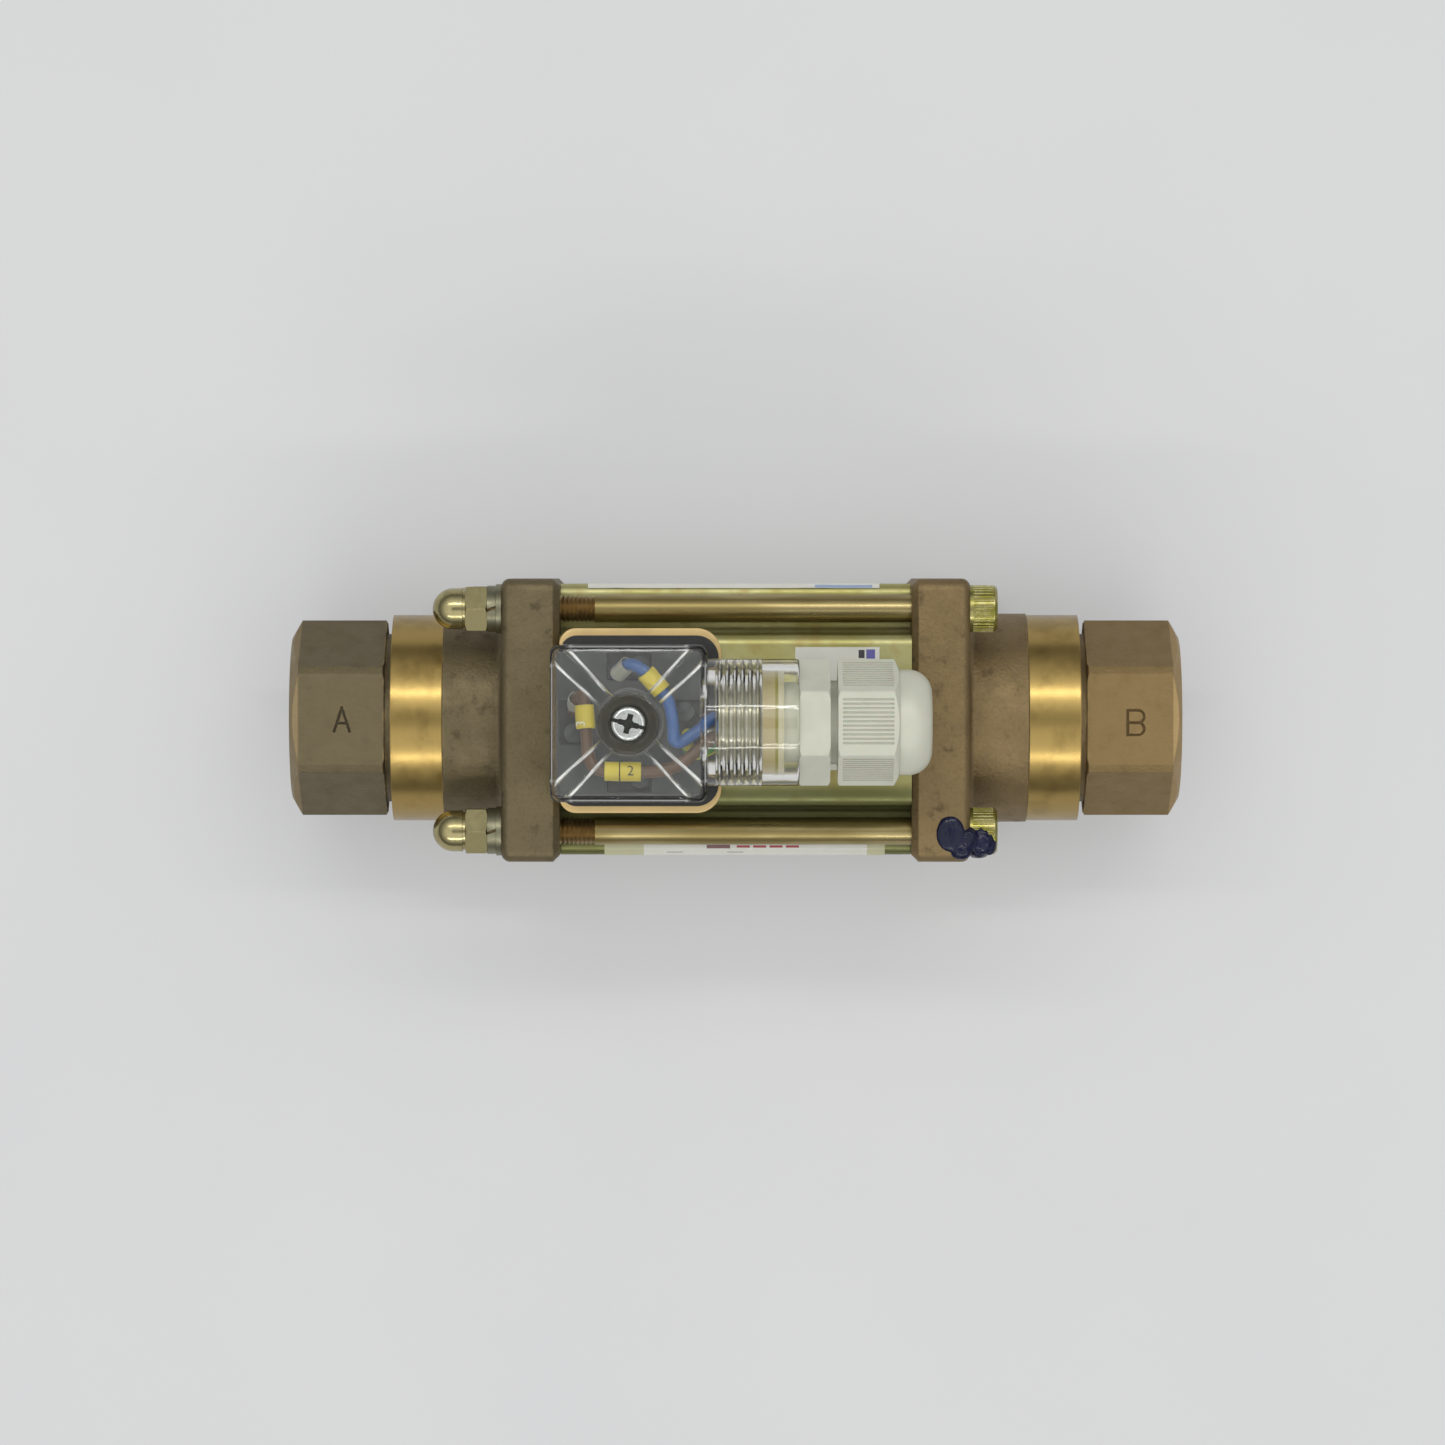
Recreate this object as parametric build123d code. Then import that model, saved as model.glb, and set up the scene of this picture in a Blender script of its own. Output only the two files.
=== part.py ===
from build123d import *
import math
import os

# Direct-acting coaxial solenoid valve, two ports, normally closed.
#
# Millimetres. The shapes below are drawn about the flow axis: X runs along it from port A to
# port B, Y is across and Z is up. They are lifted by AXIS_HEIGHT when written, so that the
# finished valve rests on Z = 0 on the lower faces of its two flanges.

# ---- Driving dimensions ----

FLANGE_SIZE = 51.5            # square end flanges
AXIS_HEIGHT = FLANGE_SIZE / 2
HALF_LENGTH = 81.75           # centre to port face
HOUSING_END = 32.0            # centre to the flanges' inner faces
FLANGE_FACE = 42.6            # centre to the flanges' outer faces
BOSS_END = 53.6
BAND_END = 63.1
HEX_START = 64.3
BOSS_R = 19.25
BAND_R = 19.0
HEX_ACROSS_FLATS = 32.0
HEX_TRIM_R = 18.0
HEX_END_R = 15.0
PORT_R = 13.25                # G 3/4 thread, at its crests' outer radius
PORT_DEPTH = 16.0
PASSAGE_R = 11.5
CHAMBER_R = 14.5
CHAMBER_END = 60.0
RECESS_R = 16.0
RECESS_END = 44.0

BOLT_PITCH = 20.25            # each tie bolt, from the axis in Y and in Z
BOLT_R = 2.5                  # M5
BOLT_HOLE_R = 2.7
THREAD_PITCH = 0.8
THREAD_DEPTH = 0.45
THREAD_SHOWN_END = -25.6
HEAD_R = 4.25
HEAD_LENGTH = 5.0
WASHER_LENGTH = 1.0
SPRING_WASHER_LENGTH = 1.6
NUT_ACROSS_FLATS = 8.0
NUT_HEX_LENGTH = 4.0
NUT_LENGTH = 10.0
DOME_R = 3.75

ARM_HALF_WIDTH = 15.6         # the coil housing is a plus-shaped tube
ARM_REACH = 24.8
ARM_OUTER_R = 1.8
ARM_INNER_R = 1.5
HOUSING_WALL = 2.0
PLATE_THICKNESS = 2.0

TUBE_R = 8.0                  # control tube
TUBE_BORE_R = 7.0
TUBE_START = -47.5
SEAT_X = 52.0                 # the tube's end rests here on the seat seal
STROKE = 4.0
GUIDE_TUBE_R = 14.3
GUIDE_TUBE_BORE_R = 13.5
GUIDE_TUBE_END = 37.0
CORE_FACE = -6.0
CORE_R = 13.45
ARMATURE_START = CORE_FACE + STROKE + 0.3
ARMATURE_END = 30.0
ARMATURE_R = 13.1
SPRING_POCKET_R = 10.5
SPRING_POCKET_START = -18.0
ARMATURE_POCKET_DEPTH = 3.0
SPRING_MEAN_R = 9.4
SPRING_WIRE_R = 0.7
SPRING_TURNS = 5
BOBBIN_BORE_R = 14.4
BOBBIN_TUBE_R = 15.3
BOBBIN_FLANGE_R = 18.9
BOBBIN_END = 29.9
WINDING_R = 18.4

PLUG_X = -19.1                # centre of the form A plug
PLUG_SIZE = 28.0
PIN_OFFSET = 9.0
BASE_BOTTOM = ARM_REACH
BASE_TOP = BASE_BOTTOM + 2.5
GASKET_TOP = BASE_TOP + 2.0
BLOCK_TOP = 42.0
CEILING = 52.0
EAVES = 53.4
ROOF_TOP = 54.9
BOSS_TOP = 55.9
COVER_WALL = 1.3
NECK_R = 11.4
NECK_END = 11.35
GLAND_Z = 42.0
GLAND_ACROSS_FLATS = 19.8
GLAND_HEX_END = 16.85
GLAND_NUT_START = 18.2
GLAND_NUT_HEX_END = 29.2
GLAND_END = 35.1
CABLE_R = 4.6

BEYOND = 1.0                  # how far cutting tools reach past a face


# ---- Small helpers ----

def rod(radius, x0, x1, y=0, z=0):
    """A cylinder along X."""
    return Pos((x0 + x1) / 2, y, z) * Rot(0, 90, 0) * Cylinder(radius, x1 - x0)


def ring(outer, inner, x0, x1, y=0, z=0):
    """A tube along X."""
    return rod(outer, x0, x1, y, z) - rod(inner, x0 - BEYOND, x1 + BEYOND, y, z)


def post(radius, x, y, z0, z1):
    """A cylinder along Z."""
    return Pos(x, y, (z0 + z1) / 2) * Cylinder(radius, z1 - z0)


def block(x0, x1, y0, y1, z0, z1):
    """A box between two corners."""
    centre = Pos((x0 + x1) / 2, (y0 + y1) / 2, (z0 + z1) / 2)
    return centre * Box(x1 - x0, y1 - y0, z1 - z0)


def turned(points, y=0, z=0):
    """A body turned about X from a closed outline of (x, radius) points."""
    outline = make_face(Polyline(*points, close=True))
    return Pos(0, y, z) * revolve(outline, axis=Axis.X)


def hexagon(across_flats, x0, x1, y=0, z=0, turn=0):
    """A hexagonal bar along X, with a flat facing up where turn is 0."""
    face = Plane.YZ * RegularPolygon(across_flats / 2, 6, major_radius=False)
    bar = Rot(turn, 0, 0) * extrude(face, x1 - x0)
    return Pos(x0, y, z) * bar


def trimmed_hexagon(across_flats, corner_r, x0, x1, cut0, cut1, y=0, z=0, turn=0):
    """A hexagonal bar with round corners and a 30 degree chamfer of the given depth at each end."""
    rise = math.tan(math.radians(30))
    envelope = turned([
        (x0 - BEYOND, 0),
        (x0 - BEYOND, corner_r - cut0 - BEYOND / rise if cut0 else corner_r),
        (x0 + cut0 * rise, corner_r),
        (x1 - cut1 * rise, corner_r),
        (x1 + BEYOND, corner_r - cut1 - BEYOND / rise if cut1 else corner_r),
        (x1 + BEYOND, 0),
    ], y, z)
    return hexagon(across_flats, x0, x1, y, z, turn) & envelope


def mirrored(shape):
    """The same shape on the port A side."""
    return mirror(shape, about=Plane.YZ)


def both_ends(shape):
    return [shape, mirrored(shape)]


def four_bolts(make):
    """One solid for each tie bolt position."""
    places = [(y, z) for y in (-BOLT_PITCH, BOLT_PITCH) for z in (-BOLT_PITCH, BOLT_PITCH)]
    return [make(y, z) for y, z in places]


def save(name, *solids):
    """Writes one node, a single solid or a group of separate ones."""
    lifted = [Pos(0, 0, AXIS_HEIGHT) * solid for solid in solids]
    if len(lifted) == 1:
        shape = lifted[0]
    else:
        shape = Compound(children=[solid.solid() for solid in lifted])
    shape.label = name
    export_step(shape, f"parts/{name}.step")


# ---- End flanges with their ports ----

CAST_CORNER_R = 2.2
CAST_EDGE_R = 1.6
INNER_CHAMFER = 1.2
BOSS_FILLET_R = 1.2
GROOVE_X = 54.6
GROOVE_WIDTH = 1.2
GROOVE_R = 15.3
PORT_CHAMFER = 0.8
MARK_WIDTH = 0.42
MARK_DEPTH = 0.35
MARK_Z = HEX_ACROSS_FLATS / 2


def stroke(x0, y0, x1, y1):
    """One straight stroke of an engraved mark, as a cutting tool on the hexagon's top flat."""
    length = math.hypot(x1 - x0, y1 - y0)
    angle = math.degrees(math.atan2(y1 - y0, x1 - x0))
    bar = Rot(0, 0, angle) * Box(length + MARK_WIDTH, MARK_WIDTH, 2 * MARK_DEPTH)
    return Pos((x0 + x1) / 2, (y0 + y1) / 2, MARK_Z) * bar


def bowl(x, y, radius):
    """The round right-hand half of a letter's bowl."""
    half = MARK_WIDTH / 2
    loop = Cylinder(radius + half, 2 * MARK_DEPTH) - Cylinder(radius - half, 4 * MARK_DEPTH)
    keep = Pos(radius, 0, 0) * Box(2 * radius, 4 * radius, 4 * MARK_DEPTH)
    return Pos(x, y, MARK_Z) * (loop & keep)


def mark_a(x, y, width=2.8, height=4.3):
    left = stroke(x - width / 2, y - height / 2, x, y + height / 2)
    right = stroke(x, y + height / 2, x + width / 2, y - height / 2)
    bar = stroke(x - width / 3.3, y - height / 6, x + width / 3.3, y - height / 6)
    return left + right + bar


def mark_b(x, y, width=3.0, height=4.5):
    radius = height / 4
    left = x - width / 2
    turn = x + width / 2 - radius
    tool = stroke(left, y - height / 2, left, y + height / 2)
    for level in (-height / 2, 0, height / 2):
        tool += stroke(left, y + level, turn, y + level)
    for centre in (-radius, radius):
        tool += bowl(turn, y + centre, radius)
    return tool


def bolt_hole(y, z):
    return rod(BOLT_HOLE_R, HOUSING_END - BEYOND, FLANGE_FACE + BEYOND, y, z)


def cast_flange(grooved):
    """A flange casting on the port B side: plate, boss, machined band and hexagon."""
    half = FLANGE_SIZE / 2
    plate = block(HOUSING_END, FLANGE_FACE, -half, half, -half, half)
    plate = fillet(plate.edges().filter_by(Axis.X), CAST_CORNER_R)
    plate = fillet(plate.faces().sort_by(Axis.X)[-1].edges(), CAST_EDGE_R)
    plate = chamfer(plate.faces().sort_by(Axis.X)[0].edges(), INNER_CHAMFER)
    boss_foot = FLANGE_FACE + BOSS_FILLET_R
    foot_r = BOSS_R + BOSS_FILLET_R
    boss = rod(BOSS_R, HOUSING_END + BEYOND, BOSS_END)
    foot = rod(foot_r, FLANGE_FACE - BEYOND, boss_foot)
    foot -= Pos(boss_foot, 0, 0) * Rot(0, 90, 0) * Torus(foot_r, BOSS_FILLET_R)
    band = rod(BAND_R, BOSS_END - BEYOND, BAND_END)
    end_cut = HEX_TRIM_R - HEX_END_R
    hexed = trimmed_hexagon(HEX_ACROSS_FLATS, HEX_TRIM_R, HEX_START, HALF_LENGTH, 0.5, end_cut)
    neck = rod(HEX_ACROSS_FLATS / 2 - 0.5, BAND_END - BEYOND, HEX_START + BEYOND)
    flange = plate + boss + foot + band + neck + hexed
    bore = turned([
        (HOUSING_END - BEYOND, 0),
        (HOUSING_END - BEYOND, RECESS_R),
        (RECESS_END, RECESS_R),
        (RECESS_END, CHAMBER_R),
        (CHAMBER_END, CHAMBER_R),
        (CHAMBER_END, PASSAGE_R),
        (HALF_LENGTH - PORT_DEPTH, PASSAGE_R),
        (HALF_LENGTH - PORT_DEPTH, PORT_R),
        (HALF_LENGTH - PORT_CHAMFER, PORT_R),
        (HALF_LENGTH + PORT_CHAMFER, PORT_R + 2 * PORT_CHAMFER),
        (HALF_LENGTH + PORT_CHAMFER, 0),
    ])
    flange -= bore
    if grooved:
        flange -= rod(GROOVE_R, GROOVE_X, GROOVE_X + GROOVE_WIDTH)
    for hole in four_bolts(bolt_hole):
        flange -= hole
    return flange


def end_flanges():
    save("port_flange_a", mirrored(cast_flange(False)) - mark_a(-72.0, 0))
    save("port_flange_b", cast_flange(True) - mark_b(73.2, -0.6))


# ---- Tie bolts, nuts and washers ----

SOCKET_ACROSS_FLATS = 4.0
SOCKET_DEPTH = 2.6
KNURL_COUNT = 36
KNURL_R = 0.22
NUT_START = -(FLANGE_FACE + WASHER_LENGTH + SPRING_WASHER_LENGTH)
BOLT_END = NUT_START - 7.5


def tie_bolt(y, z):
    """Socket head screw, with the part of its thread that shows beside the flange."""
    head_end = FLANGE_FACE + HEAD_LENGTH
    outline = [(BOLT_END, 0), (BOLT_END, BOLT_R - 0.4), (BOLT_END + 0.4, BOLT_R)]
    ridges = int((THREAD_SHOWN_END + HOUSING_END + 1.0) / THREAD_PITCH)
    for turn in range(ridges, 0, -1):
        start = THREAD_SHOWN_END - turn * THREAD_PITCH
        outline.append((start, BOLT_R))
        outline.append((start + THREAD_PITCH / 2, BOLT_R - THREAD_DEPTH))
    outline += [
        (THREAD_SHOWN_END, BOLT_R),
        (FLANGE_FACE, BOLT_R),
        (FLANGE_FACE, HEAD_R),
        (head_end - 0.5, HEAD_R),
        (head_end, HEAD_R - 0.5),
        (head_end, 0),
    ]
    bolt = turned(outline, y, z)
    bolt -= hexagon(SOCKET_ACROSS_FLATS, head_end - SOCKET_DEPTH, head_end + BEYOND, y, z)
    for step in range(KNURL_COUNT):
        angle = 2 * math.pi * step / KNURL_COUNT
        groove_y = y + (HEAD_R + 0.08) * math.cos(angle)
        groove_z = z + (HEAD_R + 0.08) * math.sin(angle)
        bolt -= rod(KNURL_R, FLANGE_FACE + 0.6, head_end - 0.7, groove_y, groove_z)
    return bolt


def flat_washer(y, z):
    return ring(4.5, 2.65, -FLANGE_FACE - WASHER_LENGTH, -FLANGE_FACE, y, z)


def spring_washer(y, z):
    """Split ring, with its gap at the top."""
    washer = ring(4.2, 2.6, NUT_START, NUT_START + SPRING_WASHER_LENGTH, y, z)
    gap = Rot(0, 0, 18) * Box(4 * SPRING_WASHER_LENGTH, 0.5, 3.0)
    return washer - Pos(NUT_START + SPRING_WASHER_LENGTH / 2, y, z + 3.6) * gap


def dome_nut(y, z):
    """Hexagon, short neck and dome, with a blind hole for the bolt."""
    hex_end = NUT_START - NUT_HEX_LENGTH
    corner_r = NUT_ACROSS_FLATS / math.sqrt(3)
    hexed = trimmed_hexagon(NUT_ACROSS_FLATS, corner_r, hex_end, NUT_START, 0.5, 0.45, y, z, turn=30)
    neck = rod(DOME_R - 0.3, hex_end - 0.6, hex_end + 0.2, y, z)
    dome_start = hex_end - 0.5
    crown = NUT_LENGTH - NUT_HEX_LENGTH - 0.5 - DOME_R
    crown_x = dome_start - crown
    ball = Pos(crown_x, y, z) * Sphere(DOME_R)
    ball &= rod(DOME_R + BEYOND, crown_x - 2 * DOME_R, crown_x + crown / 2, y, z)
    dome = rod(DOME_R, crown_x, dome_start, y, z) + ball
    return hexed + neck + dome - rod(BOLT_R + 0.02, BOLT_END - 0.3, NUT_START + BEYOND, y, z)


def fasteners():
    save("tie_bolts", *four_bolts(tie_bolt))
    save("flat_washers", *four_bolts(flat_washer))
    save("spring_washers", *four_bolts(spring_washer))
    save("dome_nuts", *four_bolts(dome_nut))


# ---- Coil housing and coil ----

PIN_WINDOW = (8.4, 3.0)


def plus_section(reach, half_width, outer_r, inner_r):
    """The housing's plus-shaped section, in the YZ plane."""
    plus = Rectangle(2 * reach, 2 * half_width) + Rectangle(2 * half_width, 2 * reach)
    distance = plus.vertices().sort_by_distance((0, 0, 0))
    plus = fillet(distance[4:], outer_r)
    nearest = plus.vertices().sort_by_distance((0, 0, 0))[:4]
    plus = fillet(nearest, inner_r)
    return Plane.YZ * plus


def plus_bar(reach, half_width, outer_r, inner_r, x0, x1):
    section = plus_section(reach, half_width, outer_r, inner_r)
    return Pos(x0, 0, 0) * extrude(section, x1 - x0)


def pin_places():
    """Contact positions round the plug's centre: (x, y, width in X, width in Y)."""
    long_side, short_side = PIN_WINDOW
    return [
        (PLUG_X, PIN_OFFSET, long_side, short_side),
        (PLUG_X, -PIN_OFFSET, long_side, short_side),
        (PLUG_X + PIN_OFFSET, 0, short_side, long_side),
    ]


def coil_housing():
    inner_reach = ARM_REACH - HOUSING_WALL
    inner_half = ARM_HALF_WIDTH - HOUSING_WALL
    shell = plus_bar(ARM_REACH, ARM_HALF_WIDTH, ARM_OUTER_R, ARM_INNER_R, -HOUSING_END, HOUSING_END)
    shell -= plus_bar(inner_reach, inner_half, 0.6, 0.3, -HOUSING_END - BEYOND, HOUSING_END + BEYOND)
    for x, y, width, depth in pin_places():
        shell -= block(x - width / 2, x + width / 2, y - depth / 2, y + depth / 2, 20, 26)
    shell -= post(2.9, PLUG_X, 0, 20, 26)
    save("coil_housing", shell)


def pole_plates():
    reach = ARM_REACH - HOUSING_WALL - 0.1
    half = ARM_HALF_WIDTH - HOUSING_WALL - 0.1
    plate = plus_bar(reach, half, 1.0, 0.3, HOUSING_END - PLATE_THICKNESS, HOUSING_END)
    plate -= rod(GUIDE_TUBE_R + 0.05, 0, HOUSING_END + BEYOND)
    save("pole_plates", *both_ends(plate))


def coil():
    flange_width = 1.5
    bobbin = ring(BOBBIN_TUBE_R, BOBBIN_BORE_R, -BOBBIN_END, BOBBIN_END)
    for wall in both_ends(ring(BOBBIN_FLANGE_R, BOBBIN_BORE_R, BOBBIN_END - flange_width, BOBBIN_END)):
        bobbin += wall
    save("coil_bobbin", bobbin)
    winding_end = BOBBIN_END - flange_width - 0.05
    save("coil_winding", ring(WINDING_R, BOBBIN_TUBE_R + 0.05, -winding_end, winding_end))


# ---- Flow tube, solenoid core, armature and spring ----

def solenoid():
    save("guide_tube", ring(GUIDE_TUBE_R, GUIDE_TUBE_BORE_R, -GUIDE_TUBE_END, GUIDE_TUBE_END))
    core = ring(CORE_R, TUBE_R + 0.4, -GUIDE_TUBE_END, CORE_FACE)
    core -= rod(SPRING_POCKET_R, SPRING_POCKET_START, CORE_FACE + BEYOND)
    save("fixed_core", core)
    armature = ring(ARMATURE_R, TUBE_R, ARMATURE_START, ARMATURE_END)
    armature -= rod(SPRING_POCKET_R, ARMATURE_START - BEYOND, ARMATURE_START + ARMATURE_POCKET_DEPTH)
    for angle in range(45, 360, 90):
        slot = Pos(0, 0, ARMATURE_R) * Box(2 * ARMATURE_END + 20, 2.4, 2.4)
        armature -= Rot(angle, 0, 0) * slot
    save("armature", armature)
    tube = ring(TUBE_R, TUBE_BORE_R, TUBE_START, SEAT_X)
    tube = chamfer(tube.faces().sort_by(Axis.X)[-1].edges().sort_by(SortBy.RADIUS)[-1], 0.35)
    save("control_tube", tube)


def return_spring():
    start = SPRING_POCKET_START + SPRING_WIRE_R + 0.05
    end = ARMATURE_START + ARMATURE_POCKET_DEPTH - SPRING_WIRE_R - 0.05
    pitch = (end - start) / SPRING_TURNS
    path = Helix(pitch, end - start, SPRING_MEAN_R)
    wire = sweep(Plane(path @ 0, z_dir=path % 0) * Circle(SPRING_WIRE_R), path=path)
    save("return_spring", Pos(start, 0, 0) * Rot(0, 90, 0) * wire)


CARRIER_R = 15.9
CARRIER_START = GUIDE_TUBE_END
CARRIER_END = RECESS_END - 0.05
BUSH_START = CARRIER_START + 1.0
BUSH_END = BUSH_START + 3.2
BUSH_R = 10.4
LIP_SEAL_R = 12.0
RUNNING_R = TUBE_R + 0.05
O_RING_R = 0.83
CARRIER_GROOVE_R = 14.25


def guides():
    """Bush, lip seal and their carrier, once at each end of the control tube."""
    carrier = ring(CARRIER_R, TUBE_R + 0.4, CARRIER_START, CARRIER_END)
    carrier -= rod(BUSH_R + 0.02, BUSH_START, CARRIER_END + BEYOND)
    carrier -= rod(LIP_SEAL_R + 0.02, BUSH_END, CARRIER_END + BEYOND)
    groove_x = (CARRIER_START + CARRIER_END) / 2
    carrier -= ring(RECESS_R + BEYOND, CARRIER_GROOVE_R, groove_x - 1.1, groove_x + 1.1)
    save("guide_carriers", *both_ends(carrier))
    save("guide_bushes", *both_ends(ring(BUSH_R, RUNNING_R, BUSH_START + 0.02, BUSH_END - 0.02)))
    seal = ring(LIP_SEAL_R, RUNNING_R, BUSH_END, CARRIER_END - 0.1)
    seal -= ring(LIP_SEAL_R - 0.9, RUNNING_R + 0.9, BUSH_END + 1.2, CARRIER_END)
    save("lip_seals", *both_ends(seal))
    groove_ring_r = CARRIER_GROOVE_R + O_RING_R + 0.02
    carrier_ring = Pos(groove_x, 0, 0) * Rot(0, 90, 0) * Torus(groove_ring_r, O_RING_R)
    save("carrier_o_rings", *both_ends(carrier_ring))
    tube_ring = Pos(HOUSING_END + 1.6, 0, 0) * Rot(0, 90, 0) * Torus(GUIDE_TUBE_R + O_RING_R + 0.02, O_RING_R)
    save("tube_o_rings", *both_ends(tube_ring))


HUB_R = 10.0
HUB_START = SEAT_X
SEAL_R = 8.9
SEAL_THICKNESS = 2.0
SPIDER_RING_START = 56.0
SPIDER_LEG_WIDTH = 3.0
SEAT_SCREW_R = 1.5
SEAT_SCREW_HEAD_R = 3.4


def seat():
    """Closing seat: a hub on three legs, its seal and screw, and the ring that holds it."""
    hub = rod(HUB_R, HUB_START, CHAMBER_END)
    hub = fillet(hub.faces().sort_by(Axis.X)[-1].edges(), 3.0)
    rim = ring(CHAMBER_R - 0.05, CHAMBER_R - 1.6, SPIDER_RING_START, CHAMBER_END)
    spider = hub + rim
    for angle in (90, 210, 330):
        leg = block(SPIDER_RING_START, CHAMBER_END - 1.0, -SPIDER_LEG_WIDTH / 2, SPIDER_LEG_WIDTH / 2,
                    HUB_R - 2.0, CHAMBER_R - 0.8)
        spider += Rot(angle, 0, 0) * leg
    spider -= rod(SEAL_R + 0.05, HUB_START - BEYOND, HUB_START + SEAL_THICKNESS)
    spider -= rod(SEAT_SCREW_R + 0.02, HUB_START, HUB_START + 6.0)
    save("seat_spider", spider)
    seal = rod(SEAL_R, SEAT_X, SEAT_X + SEAL_THICKNESS) - rod(SEAT_SCREW_R + 0.1, 50, 56)
    save("seat_seal", seal)
    screw = rod(SEAT_SCREW_R, SEAT_X, SEAT_X + 5.5)
    screw += rod(SEAT_SCREW_HEAD_R, SEAT_X - 1.4, SEAT_X)
    screw -= block(SEAT_X - 2, SEAT_X - 0.7, -SEAT_SCREW_HEAD_R, SEAT_SCREW_HEAD_R, -0.4, 0.4)
    save("seat_screw", screw)
    clip = ring(GROOVE_R - 0.1, CHAMBER_R - 1.3, GROOVE_X + 0.05, GROOVE_X + GROOVE_WIDTH - 0.05)
    clip -= block(GROOVE_X - 1, GROOVE_X + 3, -2.5, 2.5, 0, GROOVE_R + 1)
    save("seat_clip", clip)


# ---- Connector base on the housing ----

BLADE_WIDTH = 6.3
BLADE_THICKNESS = 0.8
BLADE_BOTTOM = 20.5
BLADE_TOP = 38.5
INSERT_R = 2.6
SCREW_R = 1.5                 # M3


def rounded_plate(x0, x1, half_width, z0, z1, left_r, right_r):
    """A flat plate with its own corner radius at each end."""
    plate = block(x0, x1, -half_width, half_width, z0, z1)
    uprights = plate.edges().filter_by(Axis.Z)
    plate = fillet(uprights.group_by(Axis.X)[0], left_r)
    uprights = plate.edges().filter_by(Axis.Z)
    return fillet(uprights.group_by(Axis.X)[-1], right_r)


def pin_slots(clearance, z0, z1):
    """Cutting tools for the three contact blades."""
    tools = []
    for x, y, width, depth in pin_places():
        along_x = width > depth
        half_x = (BLADE_WIDTH if along_x else BLADE_THICKNESS) / 2 + clearance
        half_y = (BLADE_THICKNESS if along_x else BLADE_WIDTH) / 2 + clearance
        tools.append(block(x - half_x, x + half_x, y - half_y, y + half_y, z0, z1))
    return tools


def connector_base():
    base = rounded_plate(-HOUSING_END, -2.6, 16.75, BASE_BOTTOM, BASE_TOP, 3.0, 4.5)
    base = fillet(base.faces().sort_by(Axis.Z)[-1].edges(), 0.4)
    gasket = rounded_plate(-31.8, -3.1, 15.45, BASE_TOP, GASKET_TOP, 3.0, 4.0)
    for slot in pin_slots(0.02, BASE_BOTTOM - BEYOND, BASE_TOP + BEYOND):
        base -= slot
    for slot in pin_slots(0.35, BASE_TOP - BEYOND, GASKET_TOP + BEYOND):
        gasket -= slot
    base -= post(INSERT_R + 0.02, PLUG_X, 0, BASE_BOTTOM - BEYOND, BASE_TOP + BEYOND)
    gasket -= post(SCREW_R + 0.5, PLUG_X, 0, BASE_TOP - BEYOND, GASKET_TOP + BEYOND)
    save("connector_base", base)
    save("profile_gasket", gasket)
    blades = pin_slots(0, BLADE_BOTTOM, BLADE_TOP)
    save("contact_pins", *blades[:2])
    save("earth_pin", blades[2])
    insert = post(INSERT_R, PLUG_X, 0, 19.5, BASE_TOP)
    insert -= post(SCREW_R + 0.08, PLUG_X, 0, 18, BASE_TOP + BEYOND)
    save("screw_insert", insert)
    lead_bottom = math.sqrt(WINDING_R ** 2 - (PIN_OFFSET - 0.6) ** 2) + 0.05
    leads = [post(0.6, PLUG_X, y, lead_bottom, BLADE_BOTTOM) for y in (-PIN_OFFSET, PIN_OFFSET)]
    save("coil_leads", *leads)


# ---- Plug: terminal block, cover, screw and wires ----

BLOCK_HALF = PLUG_SIZE / 2 - COVER_WALL - 0.2
POCKET_LONG = 8.0
POCKET_SHORT = 5.0
POCKET_FLOOR = 31.5
CLAMP_TOP = 40.5
TERMINAL_SCREW_R = 1.7
POST_R = 5.2
POST_BORE_R = 1.8
COUNTERBORE_R = 3.55
COUNTERBORE_FLOOR = 52.4
SCREW_HEAD_R = 3.05
RIB_WIDTH = 3.1
RIB_RISE = 0.8                 # the roof's ribs stand this proud
EAVE_R = 1.3
EAVE_STEPS = 5
STUB_BORE_R = 5.2
STUB_R = 7.6
SEAL_RING_R = 9.3
MOUTH_R = 9.4
STUB_START = -3.6
MOUTH_START = 4.6
THREAD_RIDGES = 6
SEAL_RING_END = 8.6


def terminal_places():
    """The four terminal pockets: (x, y, is it long in X)."""
    return [
        (PLUG_X, PIN_OFFSET, True),
        (PLUG_X, -PIN_OFFSET, True),
        (PLUG_X + PIN_OFFSET, 0, False),
        (PLUG_X - PIN_OFFSET, 0, False),
    ]


def terminal_box(x, y, long_in_x, shrink, z0, z1):
    half_long = POCKET_LONG / 2 - shrink
    half_short = POCKET_SHORT / 2 - shrink
    half_x = half_long if long_in_x else half_short
    half_y = half_short if long_in_x else half_long
    return block(x - half_x, x + half_x, y - half_y, y + half_y, z0, z1)


def screw_place(x, y, long_in_x):
    """Where a terminal's screw stands, at one end of its clamp."""
    offset = -1.9 if x < PLUG_X else 1.9
    return (x + offset, y) if long_in_x else (x, y + offset)


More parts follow.
